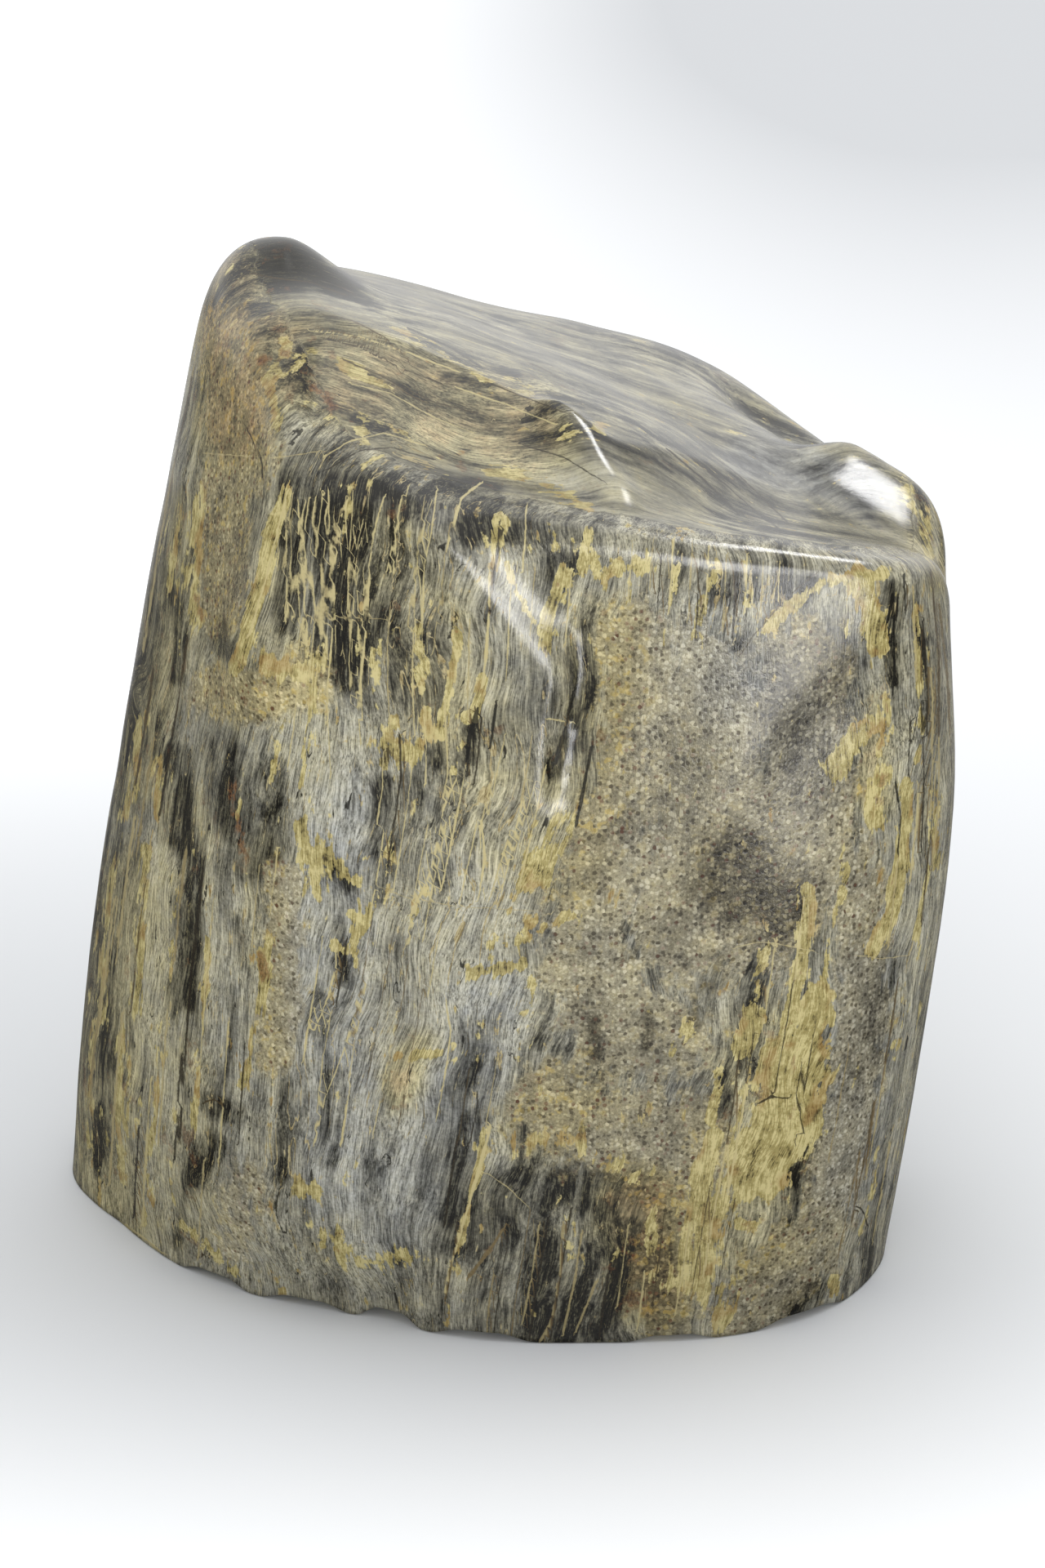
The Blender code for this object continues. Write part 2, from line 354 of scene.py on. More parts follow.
def rim_tilt(bearing):
    """The angle above level at which the rim is seen from the axis, at a bearing in degrees."""
    height = np.full_like(bearing, RIM_START)
    for _ in range(RIM_STEPS):
        radius = wall_radius(bearing, height)
        x, y = radius * np.cos(np.radians(bearing)), radius * np.sin(np.radians(bearing))
        height = (height + top_height(x, y)) / 2
    return np.arctan2(height - FAN_HEIGHT, radius)


def surface_points(bearing, share):
    """Points of the stump's skin: share runs from the underside's middle, out, up and over the top."""
    radians = np.radians(bearing)
    lift = chip_height(bearing)
    climb = (share - FOOT_SHARE) / (FAN_SHARE - FOOT_SHARE)
    start = lift + (FAN_HEIGHT - lift) * np.clip(climb, 0, 1)
    to_rim = np.clip((share - FAN_SHARE) / (RIM_SHARE - FAN_SHARE), 0, 1)
    past_rim = np.clip((share - RIM_SHARE) / (1 - RIM_SHARE), 0, 1)
    whole, back_to = np.unique(np.round(bearing, 3), return_inverse=True)
    rim = rim_tilt(whole)[back_to]
    tilt = rim * (1 - (1 - to_rim) ** RIM_CROWDING) + (math.pi / 2 - rim) * past_rim**RIM_CROWDING
    heading = np.column_stack([np.cos(tilt) * np.cos(radians), np.cos(tilt) * np.sin(radians), np.sin(tilt)])
    middle = np.column_stack([np.zeros_like(start), np.zeros_like(start), start])
    near, far = (np.full(len(start), limit) for limit in SKIN_RANGE)
    for _ in range(SKIN_HALVINGS):
        reach = (near + far) / 2
        outside = depth_outside(middle + heading * reach[:, None]) > 0
        near, far = np.where(outside, near, reach), np.where(outside, reach, far)
    points = middle + heading * ((near + far) / 2)[:, None]
    points = points + heading * relief(points)[:, None]
    under = share < FOOT_SHARE
    spread = np.clip(share / FOOT_SHARE, 0, 1)
    gap = (np.hypot(points[:, 0], points[:, 1]) * (1 - spread))[under]
    points[under, :2] *= spread[under, None]
    points[under, 2] = lift[under] * ease(1 - gap / CHIP_DEPTH)
    return points


def relief(points):
    """The polish's unevenness, in metres outward."""
    return sum(height * soft_noise(points, size, seed) for height, size, seed in POLISH_WAVES)


# The grain
def cast(pixels):
    """The points of the skin that pixels of the photograph show."""
    pixels = np.asarray(pixels, float)
    right = (pixels[:, :1] - PHOTO_WIDTH / 2) * np.array([[1.0, 0.0, 0.0]])
    up = (PHOTO_HEIGHT / 2 - pixels[:, 1:]) * CAMERA_UP
    ray = right + up - FOCAL_PIXELS * BACK_DIRECTION
    ray = ray / np.linalg.norm(ray, axis=1)[:, None]
    nearest, farthest = RAY_RANGE
    reach = np.full(len(pixels), nearest)
    found = np.zeros(len(pixels), bool)
    for _ in range(RAY_STEPS):
        outside = depth_outside(CAMERA_PLACE + ray * reach[:, None])
        found |= outside < SKIN_MET
        step = np.maximum(SHORTEST_STEP, 0.5 * outside)
        reach = np.where(found, reach, np.minimum(farthest, reach + step))
    return CAMERA_PLACE + ray * reach[:, None]


def grain_table():
    """For each of GRAIN_LEVELS, how far each whole degree of bearing is from its grain line's label."""
    lines = []
    for track in GRAIN_TRACKS:
        points = cast(smooth_curve(track, 4))
        order = np.argsort(points[:, 2])
        height, bearing = points[order, 2], bearing_of(points[order])
        bearing = (bearing - 90) % 360
        lines.append((np.interp(GRAIN_HEIGHT, height, bearing), np.interp(GRAIN_LEVELS, height, bearing)))
    for bearing in BACK_BEARINGS:
        lines.append(((bearing - 90) % 360, np.full(len(GRAIN_LEVELS), (bearing - 90) % 360)))
    lines.sort(key=lambda line: line[0])
    labels = np.array([line[0] for line in lines])
    tracks = np.array([line[1] for line in lines])
    table = []
    for track in np.maximum.accumulate(tracks).T:
        table.append(np.interp(np.arange(361), track + 90, labels - track, period=360))
    return np.array(table)


GRAIN_TRACKS = [np.reshape(line, (-1, 2)).astype(float) for line in GRAIN_LINES]
GRAIN_SHIFTS = grain_table()
GRAIN_RADIUS = 0.175
GRAIN_SKIN = 0.004
GRAIN_TURN = 300
GRAIN_NARROWING = 0.5

# On the top: the middle and size of the facet where the grain turns, and the swirls' place, size and
# strength
GRAIN_FACET = (0.092, -0.065, 0.045, 0.050)
GRAIN_SWIRLS = ((-0.012, -0.085, 0.035, 0.020), (-0.085, -0.085, 0.04, -0.016))


def wall_grain(points):
    """Coordinates of the wall's grain: two across it and one along it, in metres."""
    bearing = bearing_of(points)
    inward = np.maximum(0, depth_inside(points) - GRAIN_SKIN)
    label = bearing + look_up(GRAIN_LEVELS, GRAIN_SHIFTS, bearing, points[:, 2])
    label = np.radians(label - GRAIN_TURN * inward)
    radius = GRAIN_RADIUS - GRAIN_NARROWING * inward
    return np.column_stack([radius * np.cos(label), radius * np.sin(label), points[:, 2] - inward])


def top_grain(points):
    """Coordinates of the top's grain, which runs mostly from left to right."""
    x, y, z = points.T
    middle_x, middle_y, size_x, size_y = GRAIN_FACET
    facet = np.exp(-(((x - middle_x) / size_x) ** 2) - (((y - middle_y) / size_y) ** 2))
    across = y + 0.55 * z + 0.9 * facet * (x - 0.05)
    for centre_x, centre_y, size, swirl in GRAIN_SWIRLS:
        away = np.hypot(x - centre_x, y - centre_y)
        across = across + swirl * np.exp(-((away / size) ** 2))
    return np.column_stack([across, 0.35 * z, x])


# Strokes of the stone's pattern, by quality: the value, the half-width in the photograph's pixels, and
# x and y of each pixel that the stroke's middle passes
STROKES = {
    # how light the stone is, with painted highlight and sheen in places
    "tone_and_sheen": (
        (-0.34, 56, 392, 610, 404, 700, 412, 750), (0.14, 40, 418, 780, 426, 860),
        # partly painted light: the pale strokes of 0.9 at x 590–600, 1 at x 390–410 and 0.85 at x 600–640 are
        # the grey wood's own tone with the polish's painted highlight and sheen on it
        (0.3, 34, 500, 640, 512, 740, 520, 850), (0.9, 44, 590, 700, 600, 830),
        (1, 50, 390, 880, 395, 960, 410, 1010), (0.7, 44, 300, 620, 285, 740), (0.6, 34, 530, 960, 520, 1060),
        (0.85, 50, 640, 1010, 600, 1100), (0.8, 62, 480, 1150, 480, 1260, 455, 1380),
        (0.66, 44, 620, 1210, 600, 1280), (0.7, 30, 470, 1440, 440, 1560), (0.85, 50, 320, 1090, 305, 1250),
        (0.75, 30, 180, 1250, 170, 1450), (0.8, 44, 260, 1470, 330, 1560), (0.42, 60, 820, 940, 780, 1120),
        (0.24, 60, 980, 820, 970, 920), (0.04, 58, 900, 1065, 945, 1115), (0.55, 40, 740, 1330, 840, 1360),
        (0.08, 22, 362, 600, 368, 690, 372, 760), (0.1, 20, 415, 600, 425, 700, 430, 830),
        (0.06, 16, 360, 588, 470, 592, 600, 606), (0.1, 22, 500, 610, 560, 625, 600, 632),
        (0.22, 12, 480, 660, 485, 760, 488, 850), (0.2, 12, 525, 850, 535, 930),
        (0.15, 9, 578, 880, 575, 930), (0.3, 14, 500, 960, 480, 1060), (0.1, 20, 215, 930, 220, 1030),
        (0.2, 26, 275, 925, 290, 1010, 300, 1060), (0.14, 16, 335, 940, 335, 1040),
        (0.12, 10, 408, 1060, 425, 1085), (0.2, 12, 395, 1225, 385, 1260),
        (0.15, 16, 250, 1040, 240, 1130, 225, 1230), (0.16, 14, 285, 1130, 295, 1240, 290, 1310),
        (0.14, 14, 250, 1350, 290, 1365), (0.1, 17, 255, 1400, 240, 1440), (0.2, 9, 222, 1430, 215, 1520),
        (0.12, 9, 122, 1360, 122, 1420), (0.72, 16, 265, 1040, 275, 1190),
        (0.75, 14, 300, 1200, 300, 1280, 292, 1330), (0.7, 22, 165, 1150, 175, 1250),
        (0.22, 22, 580, 1245, 572, 1300, 565, 1330), (0.2, 12, 680, 1250, 665, 1275),
        (0.15, 16, 580, 1370, 565, 1430, 555, 1490), (0.22, 8, 795, 1230, 792, 1280),
        (0.2, 10, 728, 1250, 728, 1290), (0.02, 30, 610, 1462, 690, 1458, 745, 1462),
        (0.06, 34, 585, 1520, 600, 1475, 640, 1490), (0.16, 50, 640, 1540, 645, 1610, 700, 1590),
        (0.05, 22, 730, 1510, 738, 1560, 725, 1620), (0.26, 30, 1020, 790, 1030, 860),
        (0.7, 45, 790, 1060, 760, 1160, 790, 1200), (0.14, 16, 985, 1400, 960, 1440),
        (0.22, 12, 925, 1190, 920, 1240), (0.2, 14, 995, 1580, 970, 1600),
        (0.1, 12, 905, 790, 950, 755, 1000, 712), (0.22, 26, 830, 700, 900, 715, 960, 720),
        (0.12, 11, 1093, 720, 1095, 830), (0.4, 26, 1060, 1210, 1050, 1300),
        (-0.45, 44, 258, 335, 300, 300, 350, 310), (0, 16, 322, 312, 372, 328, 430, 352),
        (0.2, 7, 430, 358, 465, 378), (0.1, 20, 268, 372, 292, 345, 308, 322),
        (0.06, 15, 300, 385, 330, 395, 318, 415), (0.12, 12, 372, 432, 368, 462),
        (0.2, 14, 330, 500, 338, 515), (0.16, 12, 452, 462, 470, 478),
        (0.18, 15, 580, 525, 610, 515, 645, 525), (0.3, 10, 350, 570, 440, 570),
        (0.22, 22, 815, 540, 880, 585, 945, 640), (0.4, 22, 790, 560, 850, 620), (0.3, 7, 700, 462, 735, 478),
        (0.32, 7, 762, 438, 800, 452), (0.25, 6, 812, 436, 830, 442), (0.35, 7, 950, 572, 1060, 572),
        (0.3, 10, 1125, 600, 1130, 660), (0.3, 30, 205, 620, 180, 780, 160, 900),
        (0.28, 26, 150, 1000, 128, 1150, 112, 1300), (0.5, 45, 285, 430, 290, 560),
        (0.42, 34, 285, 620, 270, 740), (0.12, 9, 212, 725, 222, 780, 215, 830),
        (0.14, 8, 175, 790, 160, 930), (0.1, 7, 210, 1200, 215, 1245), (0.1, 6, 238, 1110, 232, 1145),
        (0.12, 9, 415, 1130, 418, 1200), (0.1, 12, 270, 765, 272, 795),
        # the stroke of 0 at x 680–712 makes the pocket right of the curl darker
        (0.14, 26, 650, 645, 700, 660, 690, 690), (0, 15, 706, 800, 712, 850, 698, 910, 680, 940),
        (0.1, 7, 620, 640, 640, 650), (0.2, 14, 880, 1180, 850, 1250),
        (0.66, 40, 760, 760, 770, 860, 740, 960), (0.8, 16, 430, 1280, 470, 1200, 500, 1170),
        (0.65, 20, 330, 1100, 345, 1200, 340, 1290), (0.2, 14, 470, 960, 465, 1040),
        (0.85, 30, 560, 1215, 620, 1210, 660, 1230), (0.36, 30, 1075, 1180, 1070, 1290),
        (0.7, 22, 1142, 1000, 1126, 1180, 1105, 1380), (0.62, 20, 1130, 720, 1150, 850, 1155, 1000),
        (0.26, 26, 560, 470, 620, 500, 700, 520), (0.36, 30, 380, 470, 460, 490, 520, 500),
        # painted light: the strokes of 0.95 at x 520–700 and 0.8 at x 690–760 paint fill light on the riser's
        # shaded foot and the shelf's reflection
        (0.55, 18, 430, 420, 520, 455), (0.95, 18, 520, 530, 640, 562, 700, 580),
        (0.8, 14, 690, 560, 760, 600), (0.25, 12, 255, 345, 290, 320),
        (0.85, 16, 195, 1050, 190, 1180, 180, 1300), (0.8, 12, 228, 1250, 222, 1380, 205, 1500),
        (0.9, 12, 262, 1080, 270, 1180, 262, 1290), (0.95, 14, 240, 1480, 300, 1540),
        (0.2, 11, 482, 960, 470, 1040, 464, 1100), (0.05, 10, 350, 600, 350, 690, 345, 770),
        (0, 14, 440, 600, 445, 690, 450, 800), (0.12, 18, 560, 640, 575, 650, 640, 650),
        (0.25, 14, 410, 1320, 400, 1420), (0.25, 12, 355, 1330, 345, 1440), (0.25, 16, 150, 870, 130, 980),
        (-0.2, 22, 405, 620, 425, 720, 436, 800), (0.2, 44, 780, 1480, 790, 1570),
    ),
    # how yellow it is
    "warm": (
        (1.25, 34, 520, 1300, 500, 1330), (1.3, 30, 1085, 870, 1080, 970), (0.8, 60, 290, 560, 300, 820),
        (0.95, 40, 290, 850, 370, 830), (0.95, 40, 215, 640, 190, 800, 165, 950),
        (0.95, 44, 160, 1080, 140, 1250, 125, 1400, 150, 1500), (0.75, 40, 230, 1000, 215, 1250, 230, 1500),
        (0.7, 30, 320, 1050, 330, 1280), (0.75, 60, 470, 660, 560, 860, 620, 1000),
        (1.2, 26, 1120, 590, 1140, 660, 1140, 700), (0.2, 50, 430, 1000, 400, 1150, 420, 1450),
        (0.15, 50, 600, 1230, 560, 1350, 480, 1500), (0.85, 50, 740, 780, 735, 900, 690, 1060),
        (0.25, 60, 880, 800, 970, 900), (0.8, 50, 700, 1340, 660, 1380), (1.3, 50, 780, 1480, 800, 1580),
        (0.9, 70, 950, 1300, 900, 1500), (0.25, 40, 1060, 1200, 1040, 1450),
        (0.55, 40, 1100, 720, 1130, 1000), (0.1, 30, 580, 1270, 570, 1330),
        (1.25, 60, 340, 430, 500, 480, 640, 525), (1.3, 50, 265, 320, 290, 400, 290, 520),
        (0.95, 20, 1125, 600, 1140, 660), (0.1, 30, 920, 560, 1060, 600),
    ),
    # how thick the cream veins are
    "vein": (
        (-0.6, 50, 385, 620, 405, 720, 418, 830), (0.6, 50, 450, 660, 470, 800, 490, 880),
        (0.9, 40, 640, 900, 600, 1040, 560, 1160), (0.8, 30, 400, 1280, 350, 1400),
        (0.8, 40, 870, 700, 920, 740), (0.75, 30, 500, 570, 400, 575), (0.15, 60, 480, 1480, 560, 1440),
        (0.1, 60, 640, 1480, 700, 1600), (0.2, 50, 200, 1100, 170, 1300),
    ),
    # where it is granular
    "gran": (
        (1, 42, 275, 415, 290, 480, 298, 570), (1, 28, 278, 600, 278, 700, 268, 755),
        (1, 36, 262, 850, 330, 850, 378, 830), (1, 26, 345, 1075, 345, 1200, 338, 1290),
        (0.75, 34, 300, 1440, 285, 1530), (1, 42, 778, 770, 780, 880, 755, 1000, 722, 1110),
        (1, 85, 850, 850, 860, 1000, 830, 1120), (1, 58, 985, 815, 985, 950, 1010, 1050),
        (1, 75, 940, 1010, 920, 1120), (1, 62, 720, 1160, 750, 1240, 810, 1270),
        (1, 60, 680, 1360, 760, 1390, 840, 1400), (1, 45, 830, 1470, 815, 1600),
        (1, 45, 985, 1530, 910, 1600), (1, 34, 1050, 1090, 1055, 1250, 1030, 1400, 1005, 1500),
    ),
    # ochre and yellow fillings
    "ochre": (
        (1.4, 8, 350, 600, 332, 650, 320, 710, 302, 780, 290, 815), (1, 12, 318, 810, 365, 825, 395, 805),
        (0.9, 5.5, 240, 615, 236, 665), (0.9, 6, 180, 1040, 172, 1150, 165, 1240),
        (0.8, 4, 215, 1090, 208, 1200), (0.9, 5, 150, 1260, 145, 1350, 150, 1440),
        (0.8, 6, 225, 1500, 290, 1560), (0.9, 6, 940, 1160, 925, 1200, 918, 1240),
        (1, 6, 1020, 1240, 1012, 1300, 1008, 1350), (0.9, 7, 228, 700, 246, 765),
        (0.9, 7, 172, 880, 165, 960, 150, 1000), (0.8, 7, 195, 930, 190, 1000),
        (1, 10.5, 472, 915, 505, 925, 515, 915), (1, 7, 560, 915, 558, 945),
        (1, 7, 590, 830, 585, 870, 572, 880), (1, 7, 612, 640, 606, 690),
        (1, 9.5, 695, 700, 672, 755, 668, 795), (1, 6.5, 720, 650, 712, 700), (0.9, 11, 745, 700, 790, 690),
        (1, 10.5, 665, 1050, 645, 1080), (0.9, 7, 580, 1190, 640, 1180), (1, 9, 402, 1045, 432, 1078),
        (1, 9, 365, 1010, 385, 1060, 388, 1100), (1, 7, 430, 1118, 448, 1132), (1, 6.5, 412, 1155, 418, 1162),
        (1, 5.5, 318, 1160, 324, 1200, 318, 1240), (0.8, 6.5, 480, 1295, 540, 1290),
        (1, 5.5, 592, 1385, 586, 1430, 570, 1490, 556, 1555), (1, 11, 375, 1455, 385, 1460),
        (1, 8, 415, 1510, 420, 1545), (0.8, 11, 450, 1545, 510, 1540),
        (1.5, 9.5, 1052, 705, 1068, 745, 1076, 790), (1, 6.5, 1010, 712, 1085, 702),
        (1, 7, 1000, 718, 965, 745, 935, 772), (1, 6.5, 1086, 850, 1082, 925),
        (1.4, 11, 1022, 940, 1035, 925, 1060, 890), (0.9, 13.5, 1080, 950, 1072, 1000),
        (1.4, 7, 1112, 960, 1106, 1040, 1095, 1110, 1068, 1165), (0.9, 6.5, 1145, 970, 1145, 1060),
        (1.4, 7, 990, 1090, 985, 1150, 972, 1230, 955, 1290), (1.7, 15, 1002, 1220, 985, 1300),
        (1.7, 32, 972, 1310, 955, 1380, 930, 1430), (1, 7, 928, 1165, 935, 1180),
        (1.5, 9.5, 928, 1245, 908, 1285), (1, 7, 882, 1315, 872, 1370),
        (1.5, 9.5, 875, 1395, 862, 1430, 852, 1500), (1, 8, 1002, 1335, 1000, 1385),
        (1.1, 24, 870, 1480, 850, 1570), (0.9, 11, 900, 1500, 920, 1500), (0.9, 12, 895, 1570, 880, 1610),
        (0.6, 14, 800, 1500, 800, 1570), (1, 7, 1020, 1570, 1025, 1585), (0.9, 8, 735, 525, 690, 530),
        (0.9, 8, 445, 520, 446, 540), (0.8, 7, 600, 575, 660, 590, 720, 620),
        (0.9, 4, 250, 600, 240, 700, 236, 760), (0.8, 4, 222, 620, 208, 720),
        (0.8, 5, 140, 1050, 128, 1150, 125, 1250), (0.7, 4, 115, 1250, 108, 1400),
        (0.8, 4, 200, 1290, 185, 1400, 180, 1500), (0.8, 3, 160, 1300, 150, 1450),
        (0.9, 4, 255, 1150, 245, 1300, 235, 1400), (0.8, 5, 310, 1260, 300, 1330),
        (0.8, 5.5, 385, 830, 378, 900, 365, 960), (0.9, 5, 440, 1100, 432, 1180),
        (0.9, 4, 330, 1130, 326, 1210), (0.9, 5.5, 480, 880, 470, 935), (0.9, 6.5, 520, 870, 525, 905),
        (0.8, 5, 700, 660, 730, 690, 742, 720), (0.9, 4, 880, 690, 860, 740, 850, 780),
        (0.9, 3, 830, 690, 822, 740), (0.9, 3, 930, 700, 915, 740), (0.8, 4, 775, 690, 770, 740),
        (0.8, 5, 1120, 740, 1128, 830, 1125, 930), (0.8, 4, 1140, 1060, 1120, 1150),
        (0.55, 13, 690, 1000, 650, 1080), (0.6, 9.5, 840, 1250, 820, 1290),
        (0.5, 14.5, 640, 1400, 720, 1400, 780, 1440), (0.7, 8, 420, 445, 470, 470),
        (0.6, 8, 380, 430, 345, 470), (0.7, 5, 480, 400, 560, 440, 600, 470),
        (0.7, 4, 400, 510, 470, 520, 540, 555), (0.6, 5, 620, 460, 650, 480),
        (0.8, 6, 1118, 600, 1134, 640, 1140, 680), (0.8, 4, 1105, 585, 1118, 625),
        (0.9, 7, 350, 420, 330, 470, 340, 520), (0.8, 5, 620, 690, 640, 740, 660, 770),
        (0.9, 5, 560, 780, 545, 860, 535, 900), (0.8, 6, 480, 1020, 470, 1090, 440, 1140),
        (0.7, 6, 700, 1120, 640, 1150, 600, 1160), (0.8, 5, 1040, 1060, 1020, 1130, 1010, 1200),
    ),
    # rust and dark red
    "rust": (
        (1, 7, 378, 470, 398, 485, 404, 500), (0.9, 6, 525, 512, 535, 518), (0.9, 5, 480, 448, 492, 456),
        (0.8, 10, 325, 440, 345, 432), (0.9, 5, 240, 730, 248, 760), (0.9, 5, 1086, 860, 1082, 915),
        (0.8, 7, 1078, 950, 1086, 975), (1, 5, 318, 1165, 324, 1200), (0.8, 8, 285, 960, 300, 1050),
        (0.7, 5, 325, 1090, 330, 1120), (0.8, 5, 362, 1300, 366, 1290), (0.7, 6, 473, 1312, 480, 1310),
        (0.7, 10, 765, 1520, 770, 1540), (0.8, 4, 615, 1505, 600, 1530),
    ),
}

# Fine lines: the shade, 0 black to 1 cream, the half-width, and x and y of each pixel that it passes
FINE_LINES = (
    (1, 2.5, 365, 612, 368, 660, 372, 720, 374, 790), (1, 1.5, 350, 620, 352, 700, 349, 760),
    (0.9, 2, 388, 612, 386, 650, 395, 720, 392, 780),
    (1, 2, 402, 600, 404, 660, 410, 730, 405, 800, 400, 850),
    (0.9, 1.5, 433, 600, 430, 650, 426, 710, 428, 780), (1, 2.5, 470, 608, 455, 660, 450, 750, 440, 850),
    (1, 2, 500, 597, 492, 630, 485, 655, 482, 700), (0.8, 1.5, 520, 610, 510, 680, 500, 760, 498, 830),
    (1, 3.5, 588, 592, 565, 610, 556, 640, 545, 680), (0.8, 1.5, 545, 680, 538, 740, 530, 800),
    (0.75, 0.8, 355, 757, 400, 755, 470, 758), (0.85, 1.2, 250, 555, 290, 558, 340, 560, 390, 553),
    (0.05, 4, 615, 650, 605, 700, 600, 750), (1, 3, 600, 700, 597, 780, 592, 840),
    (0, 6, 702, 850, 690, 900, 680, 935), (1, 2.5, 672, 880, 700, 885), (0, 4, 725, 915, 716, 960, 706, 1010),
    (0, 5, 585, 870, 575, 900, 572, 930), (0, 3.5, 608, 862, 600, 915),
    (1, 2.5, 560, 950, 545, 985, 540, 1010, 528, 1065, 510, 1110, 500, 1160),
    (1, 3, 590, 1005, 594, 1050, 586, 1100), (0.9, 2, 625, 1020, 612, 1060, 600, 1100),
    (0.9, 2, 655, 960, 640, 1010, 628, 1050), (0.8, 0.8, 460, 1085, 500, 1100, 560, 1110, 650, 1115),
    (1, 2, 545, 1220, 552, 1262, 548, 1300, 535, 1370), (0.1, 2, 585, 1340, 582, 1370, 575, 1400),
    (1, 2, 410, 1150, 412, 1180, 402, 1220, 385, 1262),
    (1, 1.8, 440, 1210, 432, 1250, 420, 1290, 398, 1345, 385, 1400), (0.9, 1.5, 365, 840, 360, 890, 352, 940),
    (0.9, 1.5, 400, 830, 402, 890, 405, 950), (0.9, 1.5, 435, 830, 438, 870, 442, 910),
    (1, 4, 600, 1380, 585, 1440, 570, 1490, 555, 1540, 545, 1585),
    (0.9, 0.8, 597, 1437, 620, 1452, 645, 1475), (0.75, 3.5, 690, 1500, 686, 1560, 675, 1620, 662, 1642),
    (0.75, 3, 712, 1510, 705, 1560, 690, 1632), (0.75, 3, 730, 1570, 718, 1600, 705, 1632),
    (0.75, 2.5, 660, 1500, 652, 1560, 640, 1620), (0.6, 4, 620, 1500, 600, 1530, 576, 1562),
    (0.2, 1.6, 1000, 702, 975, 722, 955, 742, 925, 775, 908, 800), (0, 3.5, 1093, 730, 1096, 790, 1093, 850),
    (0, 2.5, 1107, 705, 1110, 760), (0, 3, 1097, 960, 1103, 1000, 1100, 1045),
    (0.85, 0.9, 900, 1160, 930, 1153, 965, 1158, 1000, 1165), (0.85, 0.9, 1050, 1170, 1080, 1174, 1110, 1170),
    (0.3, 2.5, 1140, 700, 1150, 800, 1150, 900), (0.1, 2, 1128, 860, 1132, 950, 1128, 1040),
    (0.1, 2, 840, 555, 885, 590, 930, 630, 955, 648), (0.1, 2, 815, 548, 860, 585, 905, 630),
    (0.15, 1.8, 860, 548, 905, 582, 965, 640), (0.1, 3, 500, 402, 530, 415, 560, 430, 590, 450),
    (0.25, 1.5, 395, 385, 430, 392, 470, 412, 500, 440), (0.15, 1.8, 400, 415, 440, 425, 490, 450, 540, 470),
    (0.2, 1.5, 420, 440, 470, 462, 530, 492, 580, 505), (0.95, 1.8, 380, 405, 440, 412, 500, 432, 560, 455),
    (0.95, 1.6, 430, 470, 480, 482, 530, 510, 580, 530), (0.15, 1.6, 600, 470, 640, 485, 690, 505),
    (0.95, 1.6, 560, 475, 620, 495, 680, 520), (0.1, 1.8, 640, 545, 690, 560, 740, 590),
    (0.1, 1.6, 300, 520, 320, 560, 322, 590), (0.9, 2.2, 395, 560, 430, 540, 470, 530, 520, 545),
    (0.1, 1.8, 400, 575, 440, 552, 480, 548, 530, 562), (0.25, 1.5, 390, 400, 425, 408, 460, 428, 490, 455),
    (0.2, 1.8, 310, 335, 345, 342, 380, 345, 425, 362), (0.2, 2, 650, 445, 672, 455, 690, 465),
    (0.2, 2, 250, 1350, 262, 1346, 272, 1352), (0.1, 3, 930, 1350, 945, 1342, 962, 1346),
    (0.1, 2, 985, 1290, 975, 1340, 985, 1390), (0.2, 2, 905, 1290, 900, 1340, 890, 1400),
    (0.1, 2, 1045, 1475, 1057, 1482, 1062, 1500), (0.9, 3, 150, 1498, 175, 1515, 200, 1535),
)

